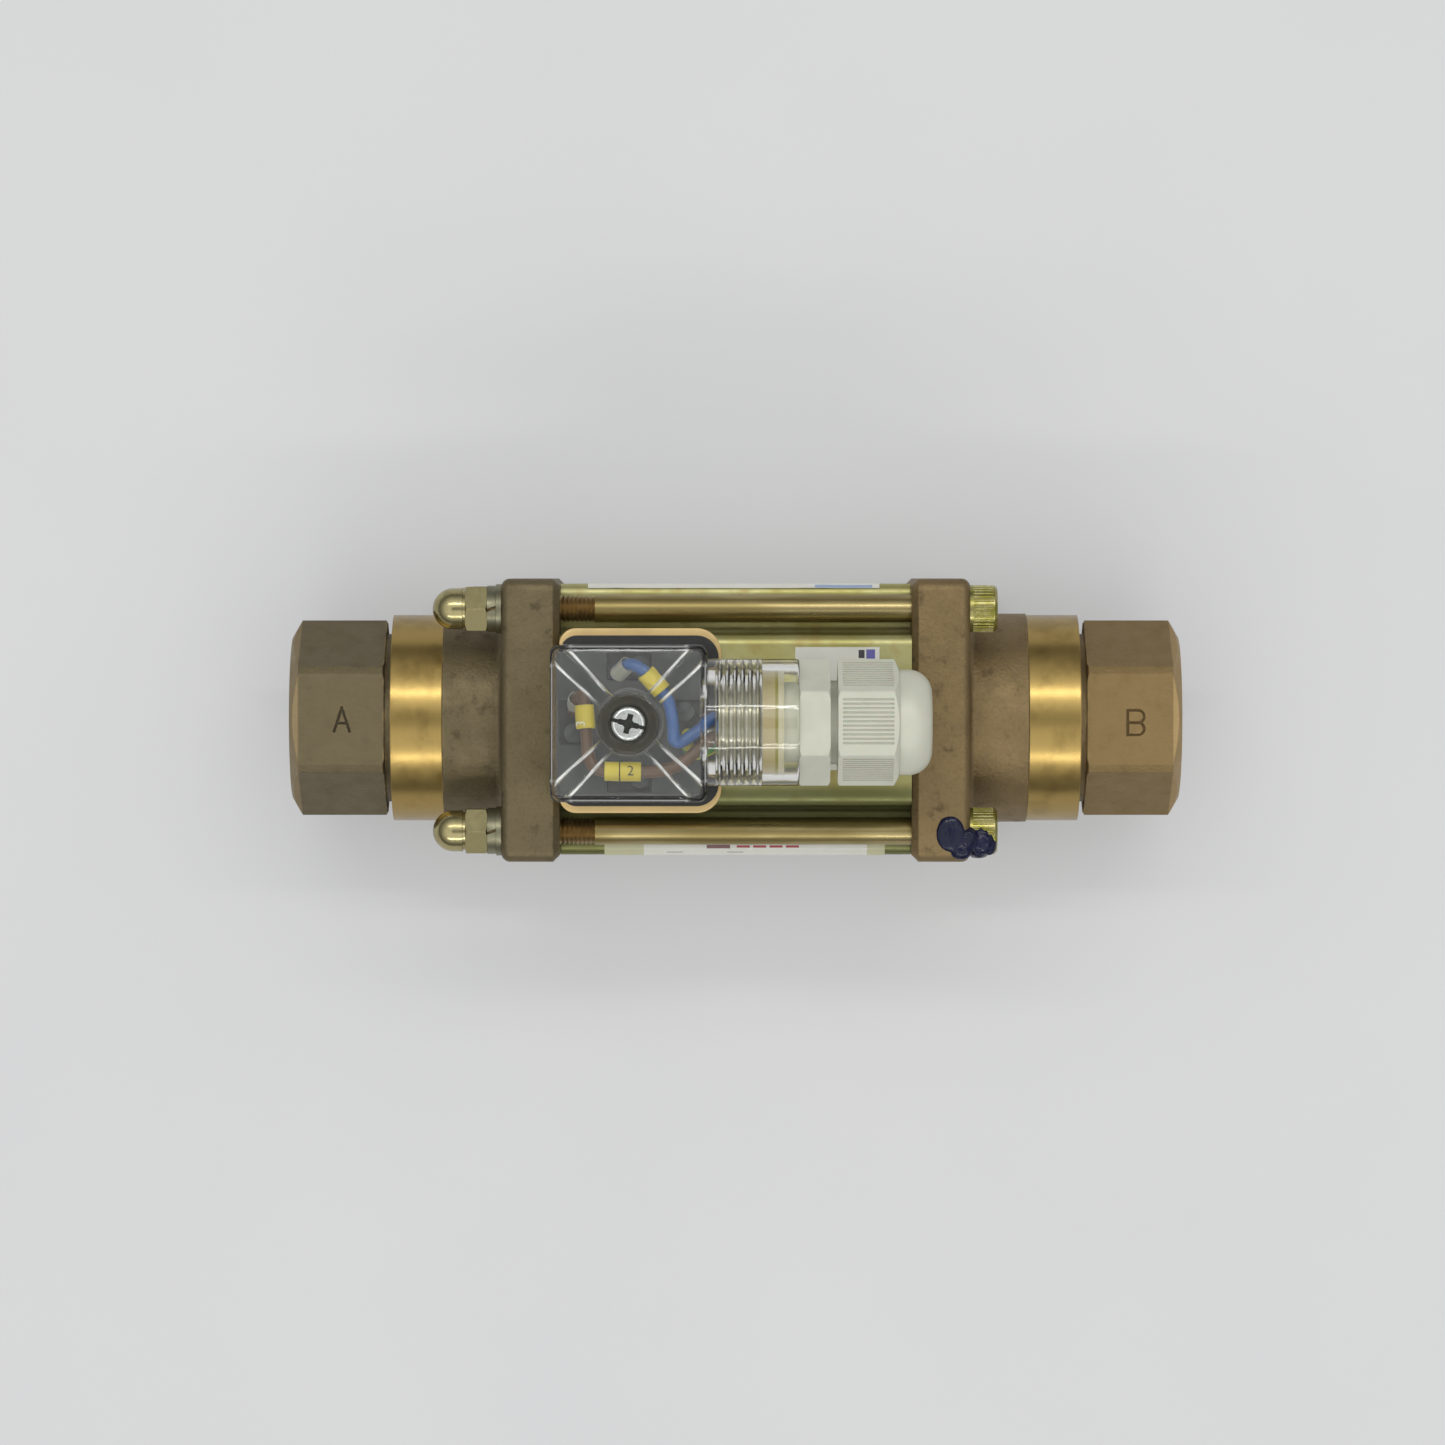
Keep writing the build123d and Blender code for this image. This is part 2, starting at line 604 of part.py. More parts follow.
def terminals():
    body = block(PLUG_X - BLOCK_HALF, PLUG_X + BLOCK_HALF, -BLOCK_HALF, BLOCK_HALF, GASKET_TOP, BLOCK_TOP)
    body = fillet(body.edges().filter_by(Axis.Z), 0.8)
    body = chamfer(body.faces().sort_by(Axis.Z)[-1].edges(), 0.6)
    body -= post(POST_BORE_R, PLUG_X, 0, GASKET_TOP - BEYOND, BLOCK_TOP + BEYOND)
    for slot in pin_slots(0.35, GASKET_TOP - BEYOND, POCKET_FLOOR + BEYOND):
        body -= slot
    clamps = []
    screws = []
    for x, y, long_in_x in terminal_places():
        body -= terminal_box(x, y, long_in_x, 0, POCKET_FLOOR, BLOCK_TOP + BEYOND)
        clamp = terminal_box(x, y, long_in_x, 0.1, POCKET_FLOOR, CLAMP_TOP)
        for slot in pin_slots(0.35, POCKET_FLOOR - BEYOND, BLADE_TOP + 0.4):
            clamp -= slot
        screw_x, screw_y = screw_place(x, y, long_in_x)
        screw = post(TERMINAL_SCREW_R, screw_x, screw_y, CLAMP_TOP, CLAMP_TOP + 1.2)
        screw -= Pos(screw_x, screw_y, CLAMP_TOP + 1.2) * Rot(0, 0, 35) * Box(5, 0.6, 1.0)
        clamps.append(clamp)
        screws.append(screw)
    save("terminal_block", body)
    save("terminal_clamps", *clamps)
    save("terminal_screws", *screws)


def cover_roof():
    """Shallow hipped roof with a raised rib on each hip and a round boss in the middle."""
    half = PLUG_SIZE / 2
    roof = None
    sections = []
    for step in range(EAVE_STEPS + 1):
        turn = math.radians(90 * step / EAVE_STEPS * 0.93)
        width = PLUG_SIZE - 2 * EAVE_R * (1 - math.cos(turn))
        sections.append((width, EAVES - EAVE_R + EAVE_R * math.sin(turn)))
    sections.append((9.0, ROOF_TOP))
    for (wide, low_z), (narrow, high_z) in zip(sections, sections[1:]):
        low = Pos(0, 0, low_z) * RectangleRounded(wide, wide, 1.6)
        high = Pos(0, 0, high_z) * RectangleRounded(narrow, narrow, 1.6)
        layer = loft([low.face(), high.face()])
        roof = layer if roof is None else roof + layer
    hip_run = (half - EAVE_R - 4.5) * math.sqrt(2)
    slope = math.degrees(math.atan2(ROOF_TOP - EAVES, hip_run))
    outline = Pos(0, 0, EAVES) * Box(PLUG_SIZE - 1.8, PLUG_SIZE - 1.8, 8.0)
    rib_height = 2.2
    crown = ROOF_TOP + 0.72 + RIB_RISE - rib_height / 2
    for angle in range(45, 360, 90):
        rib = Rot(0, slope, 0) * Pos(11.5, 0, 0) * Box(17.0, RIB_WIDTH, rib_height)
        rib = fillet(rib.edges().filter_by(Axis.Y, reverse=True).group_by(Axis.Z)[-1], 0.7)
        roof += Rot(0, 0, angle) * Pos(0, 0, crown) * rib & outline
    boss = Pos(0, 0, (CEILING + BOSS_TOP) / 2) * Cylinder(5.5, BOSS_TOP - CEILING)
    boss = fillet(boss.faces().sort_by(Axis.Z)[-1].edges(), 0.6)
    return Pos(PLUG_X, 0, 0) * (roof + boss)


def thread_outline(clearance):
    """(x, radius) points along the gland's thread, or round it with a clearance."""
    pitch = (MOUTH_START - STUB_START) / THREAD_RIDGES
    root = STUB_R - 0.8 + clearance
    crest = STUB_R + clearance
    points = []
    for turn in range(THREAD_RIDGES):
        start = STUB_START + turn * pitch
        points.append((start + 0.02, root))
        points.append((start + 0.35 * pitch, crest))
        points.append((start + 0.6 * pitch, crest))
        points.append((start + pitch - 0.02, root))
    return points


def plug_cover():
    half = PLUG_SIZE / 2
    inside = half - COVER_WALL
    shell = block(PLUG_X - half, PLUG_X + half, -half, half, GASKET_TOP, EAVES - EAVE_R)
    shell = fillet(shell.edges().filter_by(Axis.Z), 1.6)
    shell += cover_roof()
    neck = rod(NECK_R, PLUG_X + half - COVER_WALL, NECK_END, 0, GLAND_Z)
    neck = fillet(neck.faces().sort_by(Axis.X)[-1].edges(), 0.5)
    shell += neck
    cavity = block(PLUG_X - inside, PLUG_X + inside, -inside, inside, GASKET_TOP - BEYOND, CEILING)
    cavity = fillet(cavity.edges().filter_by(Axis.Z), 0.6)
    shell -= cavity - post(POST_R, PLUG_X, 0, BLOCK_TOP + 0.2, CEILING + BEYOND)
    shell -= post(COUNTERBORE_R, PLUG_X, 0, COUNTERBORE_FLOOR, BOSS_TOP + BEYOND)
    shell -= post(POST_BORE_R, PLUG_X, 0, BLOCK_TOP, BOSS_TOP)
    clearance = 0.15
    bore = [(PLUG_X + inside - 0.5, 0), (PLUG_X + inside - 0.5, STUB_R + clearance)]
    bore += [(STUB_START, STUB_R + clearance)]
    bore += thread_outline(clearance)
    bore += [(MOUTH_START + BEYOND, STUB_R - 0.8 + clearance), (MOUTH_START + BEYOND, 0)]
    shell -= turned(bore, 0, GLAND_Z)
    shell -= rod(MOUTH_R, MOUTH_START, NECK_END + BEYOND, 0, GLAND_Z)
    save("plug_cover", shell)


def plug_screw():
    """Combination-head fixing screw, with its sealing ring."""
    seat_z = COUNTERBORE_FLOOR + 0.8
    head_top = seat_z + 2.2
    screw = post(SCREW_R, PLUG_X, 0, 21.0, seat_z)
    head = post(SCREW_HEAD_R, PLUG_X, 0, seat_z, head_top)
    head = fillet(head.faces().sort_by(Axis.Z)[-1].edges(), 0.6)
    screw += head
    turn = Pos(PLUG_X, 0, head_top) * Rot(0, 0, -15)
    screw -= turn * Box(7.0, 0.7, 2.0)
    screw -= turn * Box(1.0, 3.6, 3.0)
    screw -= turn * Box(3.6, 1.0, 3.0)
    screw -= turn * Rot(0, 0, 45) * Box(1.9, 1.9, 2.4)
    save("plug_screw", screw)
    washer = post(SCREW_HEAD_R + 0.25, PLUG_X, 0, COUNTERBORE_FLOOR, seat_z - 0.02)
    washer -= post(POST_BORE_R, PLUG_X, 0, COUNTERBORE_FLOOR - BEYOND, seat_z + BEYOND)
    save("screw_seal", washer)


WIRE_R = 1.1
MARKER_R = 1.75
WIRE_START = CLAMP_TOP + 0.7   # room for the leaning ends of the insulation
WIRE_END = 27.0               # where the wires stop, inside the gland

# Wire routes, from each terminal to the gland: (x, y, z) with x and y from the plug's centre.
BLUE_ROUTE = [
    (-2.0, 8.4, WIRE_START),
    (-2.4, 7.6, 45.6),
    (0.2, 10.4, 48.6),
    (2.6, 9.2, 49.3),
    (6.8, 4.2, 49.3),
    (7.6, -0.2, 49.3),
    (7.5, -4.2, 48.4),
    (11.0, -2.0, 46.9),
    (14.8, 0.8, 45.2),
    (18.6, 1.6, 44.2),
    (22.2, 1.7, 44.0),
    (WIRE_END, 1.7, 44.0),
]
BROWN_ROUTE = [
    (-8.9, 1.9, WIRE_START),
    (-8.6, 4.3, 45.4),
    (-7.6, 5.2, 48.0),
    (-7.1, -3.0, 48.8),
    (-6.6, -8.1, 48.9),
    (4.6, -8.3, 48.9),
    (9.0, -7.4, 48.4),
    (12.0, -4.5, 46.8),
    (16.0, -1.9, 44.9),
    (20.5, -1.4, 44.5),
    (WIRE_END, -1.4, 44.5),
]
EARTH_ROUTE = [
    (9.4, -2.1, WIRE_START),
    (9.5, -2.5, 44.0),
    (9.9, -5.8, 45.3),
    (13.2, -5.2, 43.8),
    (17.0, -3.0, 42.2),
    (20.8, -2.3, 41.6),
    (WIRE_END, -2.3, 41.6),
]


def wire_route(points):
    """The route in the valve's own frame, with an arc of the largest fitting size at each corner."""
    route = [Vector(PLUG_X + x, y, z) for x, y, z in points]
    radii = []
    for before, corner, after in zip(route, route[1:], route[2:]):
        turn = (corner - before).get_angle(after - corner)
        run = min((corner - before).length, (after - corner).length)
        radii.append(0.45 * run / math.tan(math.radians(turn) / 2))
    return route, radii


def wire(points):
    route, radii = wire_route(points)
    path = FilletPolyline(*route, radius=radii)
    return sweep(Plane(path @ 0, z_dir=path % 0) * Circle(WIRE_R), path=path)


def sleeve(points, run, outer, length, along=0.5):
    """A short sleeve on one run of a wire, centred a given part of the way along it."""
    route, _ = wire_route(points)
    start, end = route[run], route[run + 1]
    place = Plane(start + (end - start) * along, z_dir=end - start)
    return place * (Cylinder(outer, length) - Cylinder(WIRE_R + 0.2, length + BEYOND))


def wire_fittings():
    """White ferrule sleeves at two terminals, and the yellow marker sleeves."""
    save("wire_ferrules", sleeve(BLUE_ROUTE, 1, 1.5, 3.6), sleeve(BROWN_ROUTE, 0, 1.5, 2.2, along=0.74))
    markers = [
        sleeve(BLUE_ROUTE, 3, MARKER_R, 4.2, along=0.42),
        sleeve(BROWN_ROUTE, 4, MARKER_R, 3.7, along=0.62),
        sleeve(BROWN_ROUTE, 4, MARKER_R, 2.6, along=0.32),
        sleeve(BROWN_ROUTE, 2, MARKER_R, 4.2, along=0.5),
    ]
    save("wire_markers", *markers)


def wires():
    save("blue_wire", wire(BLUE_ROUTE))
    save("brown_wire", wire(BROWN_ROUTE))
    save("earth_wire", wire(EARTH_ROUTE))


# ---- Cable gland ----

NUT_BORE_R = 7.85
NUT_BORE_END = 30.0
CLAW_START = 24.2
CLAW_END = 29.6
RIB_PITCH = 0.78
RIBS_EACH_WAY = 5


def gland_body():
    outline = [(STUB_START, STUB_BORE_R), (STUB_START, STUB_R - 0.8)]
    outline += thread_outline(0)
    outline += [
        (MOUTH_START + 0.1, STUB_R - 0.8),
        (MOUTH_START + 0.1, 7.2),
        (NECK_END, 7.2),
        (NECK_END, 7.5),
        (CLAW_START - 0.2, 7.5),
        (CLAW_START - 0.2, STUB_BORE_R),
    ]
    body = turned(outline, 0, GLAND_Z)
    corner_r = GLAND_ACROSS_FLATS / math.sqrt(3) - 0.1
    hexed = trimmed_hexagon(GLAND_ACROSS_FLATS, corner_r, NECK_END, GLAND_HEX_END, 0.4, 0.6, 0, GLAND_Z)
    body += hexed - rod(STUB_BORE_R + 0.5, 10, 18, 0, GLAND_Z)
    save("gland_body", body)
    save("gland_seal_ring", ring(SEAL_RING_R, 7.25, MOUTH_START + 0.05, SEAL_RING_END, 0, GLAND_Z))


def gland_grip():
    """The rubber sleeve and the fingers that the nut squeezes onto a cable."""
    seal = ring(6.2, CABLE_R, CLAW_START, CLAW_END, 0, GLAND_Z)
    save("gland_seal", seal)
    claw = ring(7.4, 6.3, CLAW_START, CLAW_END, 0, GLAND_Z)
    for step in range(4):
        slit = Pos(CLAW_END, 0, GLAND_Z) * Rot(45 * step, 0, 0) * Box(7.6, 0.5, 20.0)
        claw -= slit
    save("gland_claw", claw)


def gland_nut():
    corner_r = GLAND_ACROSS_FLATS / math.sqrt(3) - 0.1
    nut = trimmed_hexagon(GLAND_ACROSS_FLATS, corner_r, GLAND_NUT_START, GLAND_NUT_HEX_END, 0.5, 1.6, 0, GLAND_Z)
    dome_r = 9.45
    dome = rod(dome_r, GLAND_NUT_HEX_END - 0.5, GLAND_END, 0, GLAND_Z)
    dome = fillet(dome.faces().sort_by(Axis.X)[-1].edges(), 4.2)
    nut += dome
    for flat in range(6):
        for step in range(-RIBS_EACH_WAY, RIBS_EACH_WAY + 1):
            cut = Pos(23.6, (step + 0.5) * RIB_PITCH, GLAND_ACROSS_FLATS / 2) * Box(9.0, 0.34, 0.5)
            nut -= Pos(0, 0, GLAND_Z) * Rot(60 * flat, 0, 0) * cut
    nut -= turned([
        (GLAND_NUT_START - BEYOND, 0),
        (GLAND_NUT_START - BEYOND, NUT_BORE_R),
        (NUT_BORE_END, NUT_BORE_R),
        (32.1, CABLE_R),
        (GLAND_END + BEYOND, CABLE_R),
        (GLAND_END + BEYOND, 0),
    ], 0, GLAND_Z)
    save("gland_nut", nut)


# ---- Labels and seal lacquer ----

LABEL_THICKNESS = 0.12


def wrapped_label(x0, x1, y0, y1):
    """A film on the housing's side face that folds over onto the ledge above it."""
    film = plus_bar(ARM_REACH + LABEL_THICKNESS, ARM_HALF_WIDTH + LABEL_THICKNESS,
                    ARM_OUTER_R + LABEL_THICKNESS, ARM_INNER_R - LABEL_THICKNESS, x0, x1)
    film -= plus_bar(ARM_REACH, ARM_HALF_WIDTH, ARM_OUTER_R, ARM_INNER_R, x0 - BEYOND, x1 + BEYOND)
    return film & block(x0, x1, y0, y1, -11.5, ARM_HALF_WIDTH + 1)


def labels():
    top = block(10.8, 26.1, -9.0, 13.3, ARM_REACH, ARM_REACH + LABEL_THICKNESS)
    save("top_label", top)
    edge = ARM_REACH + 1
    save("side_label_left", wrapped_label(-27.0, 26.3, ARM_REACH - 0.8, edge))
    save("side_label_right", wrapped_label(-24.0, 27.3, -edge, -(ARM_REACH - 1.9)))


def seal_lacquer():
    """A dab of seal lacquer across the flange's top and the screw head beside it."""
    half = FLANGE_SIZE / 2
    dab = Pos(39.2, -20.8, half) * scale(Sphere(1), (2.7, 3.6, 0.9))
    dab &= block(30, 50, -half, 0, half, half + 3)
    skin = ring(HEAD_R + 0.5, HEAD_R + 0.02, FLANGE_FACE + 0.3, FLANGE_FACE + HEAD_LENGTH - 0.3,
                -BOLT_PITCH, BOLT_PITCH)
    skin &= block(40, 50, -24.5, -18.0, BOLT_PITCH + 1.5, 30)
    save("seal_lacquer", dab, skin)


# ---- Writing every node ----

def main():
    os.makedirs("parts", exist_ok=True)
    end_flanges()
    fasteners()
    coil_housing()
    pole_plates()
    coil()
    solenoid()
    return_spring()
    guides()
    seat()
    connector_base()
    terminals()
    plug_cover()
    plug_screw()
    wires()
    wire_fittings()
    gland_body()
    gland_grip()
    gland_nut()
    labels()
    seal_lacquer()


main()
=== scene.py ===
import math

import bmesh
import bpy
import numpy as np
from mathutils import Matrix, Vector, noise


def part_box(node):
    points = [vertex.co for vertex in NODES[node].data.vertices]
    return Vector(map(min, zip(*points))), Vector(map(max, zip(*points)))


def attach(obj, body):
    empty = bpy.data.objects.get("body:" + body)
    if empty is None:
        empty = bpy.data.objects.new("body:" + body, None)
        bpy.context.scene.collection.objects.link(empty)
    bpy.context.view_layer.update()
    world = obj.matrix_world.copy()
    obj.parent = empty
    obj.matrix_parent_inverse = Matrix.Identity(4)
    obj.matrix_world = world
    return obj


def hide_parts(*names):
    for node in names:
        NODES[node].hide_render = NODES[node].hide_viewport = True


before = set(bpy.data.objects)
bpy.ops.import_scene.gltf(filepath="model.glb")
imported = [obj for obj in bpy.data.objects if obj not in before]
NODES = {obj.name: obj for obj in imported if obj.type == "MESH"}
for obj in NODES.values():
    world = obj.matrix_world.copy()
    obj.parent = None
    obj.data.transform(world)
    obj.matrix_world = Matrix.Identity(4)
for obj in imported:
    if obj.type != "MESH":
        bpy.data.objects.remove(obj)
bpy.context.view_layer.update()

# The looks of a coaxial solenoid valve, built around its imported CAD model. Metres, in the CAD's frame:
# X along the flow axis from port A to port B, Y across, Z up, standing on Z = 0.

MM = 0.001

# ---- Places taken from the frame ----

FLANGE_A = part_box("port_flange_a")
FLANGE_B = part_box("port_flange_b")
AXIS_Z = (FLANGE_A[0].z + FLANGE_A[1].z) / 2
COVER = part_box("plug_cover")
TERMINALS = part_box("terminal_block")
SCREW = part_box("plug_screw")
PLUG_X = (TERMINALS[0].x + TERMINALS[1].x) / 2
LEDGE_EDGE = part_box("side_label_left")[1].y
HEX_FLAT = 16.0 * MM
MARK_FLOOR = AXIS_Z + HEX_FLAT - 0.2 * MM
MARK_MOUTH = AXIS_Z + HEX_FLAT - 0.04 * MM

# Each pair is where a change of finish starts and ends (at the housing's -Y edge, a change of painted shade):
# along X from the middle, or out from the flow axis.
BAND_START = (53.55 * MM, 53.7 * MM)
BAND_END = (63.0 * MM, 63.2 * MM)
BAND_RADIUS = (17.5 * MM, 18.5 * MM)
HEX_START = (63.9 * MM, 64.5 * MM)
CHAMFER_START = (79.9 * MM, 80.2 * MM)
CHAMFER_RADIUS = (14.0 * MM, 15.2 * MM)
BORE_START = (45 * MM, 46 * MM)
BORE_RADIUS = (13.3 * MM, 15.0 * MM)
LETTER_START = (69 * MM, 70 * MM)
LETTER_END = (76 * MM, 77 * MM)
LETTER_HALF_WIDTH = (3.0 * MM, 3.6 * MM)
BOLT_THREAD_END = (-25.9 * MM, -25.5 * MM)
BOLT_HEAD_START = (42.3 * MM, 42.7 * MM)
HOUSING_SHADE_EDGE = (-13.2 * MM, -10.8 * MM)
WELL_RADIUS = (5.0 * MM, 5.7 * MM)
OLIVE_START = (6.9 * MM, 7.05 * MM)
CREAM_START = (7.45 * MM, 7.6 * MM)
GLAND_THREAD_END = (4.5 * MM, 4.7 * MM)
STRIPE_WAVE = 1700.0  # radians a metre, across the stripes
COIL_WIRE = 0.5 * MM

# Painted highlight lines on the clear cover run along both sides of its diagonal ribs, out from the screw,
# and round its rim; the distances are from the screw's axis.
RIB_START = (6.0 * MM, 9.0 * MM)
RIB_END = (16.0 * MM, 17.0 * MM)
RIB_REACH = (6.5 * MM, 16.5 * MM)
RIB_HALF_WIDTHS = (1.25 * MM, 1.7 * MM)
RIM_INSET = 0.35 * MM
RIM_CORNER = (16.8 * MM, 17.8 * MM)


# ---- Node graph helpers ----

class Graph:
    """A material's nodes, with short calls for the ones used here."""

    def __init__(self, name):
        self.material = bpy.data.materials.new(name)
        self.material.use_nodes = True
        self.nodes = self.material.node_tree.nodes
        self.links = self.material.node_tree.links
        self.shader = self.nodes["Principled BSDF"]
        self.output = self.nodes["Material Output"]
        self.position = self.nodes.new("ShaderNodeTexCoord").outputs["Object"]

    def link(self, value, socket):
        """Joins an output to a socket, or sets the socket where the value is a plain number or colour."""
        if isinstance(value, bpy.types.NodeSocket):
            self.links.new(value, socket)
        elif hasattr(value, "__len__") and len(value) == 3 and len(socket.default_value) == 4:
            socket.default_value = (*value, 1)
        else:
            socket.default_value = value

    def math(self, operation, a, b=0.0, c=0.0, clamp=False):
        node = self.nodes.new("ShaderNodeMath")
        node.operation = operation
        node.use_clamp = clamp
        for socket, value in zip(node.inputs, (a, b, c)):
            self.link(value, socket)
        return node.outputs[0]

    def vector(self, operation, a, b=(0, 0, 0)):
        node = self.nodes.new("ShaderNodeVectorMath")
        node.operation = operation
        self.link(a, node.inputs[0])
        self.link(b, node.inputs[1])
        return node.outputs["Value" if operation in ("LENGTH", "DOT_PRODUCT") else "Vector"]

    def axis(self, index, source=None):
        node = self.nodes.new("ShaderNodeSeparateXYZ")
        self.link(source or self.position, node.inputs[0])
        return node.outputs[index]

    def combine(self, x, y, z):
        node = self.nodes.new("ShaderNodeCombineXYZ")
        for socket, value in zip(node.inputs, (x, y, z)):
            self.link(value, socket)
        return node.outputs[0]

    def stretched(self, x, y, z):
        """The position with each axis scaled."""
        return self.vector("MULTIPLY", self.position, (x, y, z))

    def noise(self, size, detail=3.0, roughness=0.55, vector=None, distortion=0.0):
        """Noise with features of about that size in metres, from 0 to 1."""
        node = self.nodes.new("ShaderNodeTexNoise")
        self.link(vector or self.position, node.inputs["Vector"])
        node.inputs["Scale"].default_value = 1 / size
        node.inputs["Detail"].default_value = detail
        node.inputs["Roughness"].default_value = roughness
        node.inputs["Distortion"].default_value = distortion
        return node.outputs["Fac"]

    def span(self, value, low, high, to_low=0.0, to_high=1.0):
        """Maps low..high to a range, smoothly and clamped."""
        node = self.nodes.new("ShaderNodeMapRange")
        node.interpolation_type = "SMOOTHSTEP"
        for name, number in (("From Min", low), ("From Max", high), ("To Min", to_low), ("To Max", to_high)):
            self.link(number, node.inputs[name])
        self.link(value, node.inputs["Value"])
        return node.outputs[0]

    def fade(self, value, low, high):
        """1 below low, 0 above high."""
        return self.span(value, low, high, 1.0, 0.0)

    def product(self, first, *others):
        for other in others:
            first = self.math("MULTIPLY", first, other)
        return first

    def mix(self, factor, a, b):
        node = self.nodes.new("ShaderNodeMix")
        node.data_type = "RGBA"
        self.link(factor, node.inputs["Factor"])
        self.link(a, node.inputs[6])
        self.link(b, node.inputs[7])
        return node.outputs[2]

    def ramp(self, factor, *stops):
        node = self.nodes.new("ShaderNodeValToRGB")
        self.link(factor, node.inputs[0])
        elements = node.color_ramp.elements
        while len(elements) < len(stops):
            elements.new(0.5)
        for element, (place, colour) in zip(elements, stops):
            element.position = place
            element.color = (*colour, 1)
        return node.outputs[0]

    def edges(self, radius, low=0.02, high=0.25):
        """1 near the solid's edges, 0 on its faces."""
        bevel = self.nodes.new("ShaderNodeBevel")
        bevel.samples = 6
        bevel.inputs["Radius"].default_value = radius
        geometry = self.nodes.new("ShaderNodeNewGeometry")
        along = self.vector("DOT_PRODUCT", bevel.outputs[0], geometry.outputs["Normal"])
        return self.span(self.math("SUBTRACT", 1.0, along), low, high)

    def bump(self, *layers, rounded=0.0):
        """Bump from (height, depth in metres) layers, over edges rounded by a small radius."""
        normal = None
        if rounded:
            bevel = self.nodes.new("ShaderNodeBevel")
            bevel.samples = 4
            bevel.inputs["Radius"].default_value = rounded
            normal = bevel.outputs[0]
        for height, depth in layers:
            node = self.nodes.new("ShaderNodeBump")
            node.inputs["Distance"].default_value = depth
            self.link(height, node.inputs["Height"])
            if normal:
                self.links.new(normal, node.inputs["Normal"])
            normal = node.outputs[0]
        if normal:
            self.links.new(normal, self.shader.inputs["Normal"])

    def set(self, **values):
        names = {
            "colour": "Base Color",
            "metal": "Metallic",
            "rough": "Roughness",
            "coat": "Coat Weight",
            "specular": "Specular IOR Level",
            "transmission": "Transmission Weight",
            "ior": "IOR",
            "subsurface": "Subsurface Weight",
        }
        for key, value in values.items():
            self.link(value, self.shader.inputs[names[key]])
        return self


def srgb(red, green, blue):
    """A colour given in 0 to 255 display values, as the linear one that shaders use."""
    def linear(channel):
        channel /= 255
        return channel / 12.92 if channel <= 0.04045 else ((channel + 0.055) / 1.055) ** 2.4
    return (linear(red), linear(green), linear(blue))


def scaled(colour, share):
    return [channel * share for channel in colour]


# ---- Camera, light and floor ----

CAMERA_HEIGHT = 1.3
CAMERA_OFFSET_Y = 0.027
AIM = Vector((-0.0024, -0.0009, AXIS_Z))
LENS = 175.0
LAMP_DISTANCE = 1.2
LAMP_LENGTH = 1.3
LAMP_WIDTH = 0.06
LAMP_COLOUR = (1.0, 0.99, 0.96)
SKY_COLOUR = (0.985, 0.99, 1.0, 1)
SKY_RISE = (0.05, 0.95)
SKY_LEVELS = (0.14, 1.14)
OVERHEAD_RISE = (0.975, 0.992)
OVERHEAD_LEVELS = (1.0, 0.3)
FLOOR_REACH = 3.0
FLOOR_GLOW = 0.23


def aimed(obj, target):
    """Points an object's -Z at the target, with +Y of the valve upwards in its view."""
    back = (obj.location - target).normalized()
    right = Vector((0, 1, 0)).cross(back).normalized()
    up = back.cross(right)
    obj.rotation_euler = Matrix((right, up, back)).transposed().to_euler()


def camera():
    data = bpy.data.cameras.new("camera")
    data.lens = LENS
    data.sensor_width = 36
    data.clip_start = 0.01
    obj = bpy.data.objects.new("camera", data)
    bpy.context.scene.collection.objects.link(obj)
    obj.location = AIM + Vector((0, CAMERA_OFFSET_Y, CAMERA_HEIGHT))
    aimed(obj, AIM)
    bpy.context.scene.camera = obj


def strip_light(name, angle, power):
    """A long soft box over the valve, tilted by an angle from upright towards +Y."""
    data = bpy.data.lights.new(name, "AREA")
    data.shape = "RECTANGLE"
    data.size = LAMP_LENGTH
    data.size_y = LAMP_WIDTH
    data.energy = power
    data.color = LAMP_COLOUR
    obj = bpy.data.objects.new(name, data)
    bpy.context.scene.collection.objects.link(obj)
    tilt = math.radians(angle)
    obj.location = Vector((0, math.sin(tilt) * LAMP_DISTANCE, AXIS_Z + math.cos(tilt) * LAMP_DISTANCE))
    aimed(obj, Vector((0, 0, AXIS_Z)))


def sky():
    """Plain light from all round: dim near the floor, bright above, dimmer in a small patch overhead."""
    world = bpy.data.worlds.new("studio")
    world.use_nodes = True
    nodes = world.node_tree.nodes
    links = world.node_tree.links
    background = nodes["Background"]
    background.inputs["Color"].default_value = SKY_COLOUR
    height = nodes.new("ShaderNodeSeparateXYZ")
    links.new(nodes.new("ShaderNodeTexCoord").outputs["Generated"], height.inputs[0])
    strength = nodes.new("ShaderNodeMath")
    strength.operation = "MULTIPLY"
    parts = ((*SKY_RISE, *SKY_LEVELS), (*OVERHEAD_RISE, *OVERHEAD_LEVELS))
    for socket, limits in zip(strength.inputs, parts):
        gradient = nodes.new("ShaderNodeMapRange")
        gradient.interpolation_type = "SMOOTHSTEP"
        for name, value in zip(("From Min", "From Max", "To Min", "To Max"), limits):
            gradient.inputs[name].default_value = value
        links.new(height.outputs[2], gradient.inputs["Value"])
        links.new(gradient.outputs[0], socket)
    links.new(strength.outputs[0], background.inputs["Strength"])
    bpy.context.scene.world = world


def lights():
    strip_light("strip_back", 29, 3.2)
    strip_light("strip_front", -44, 2.6)
    sky()
    bpy.context.scene.view_settings.view_transform = "Standard"


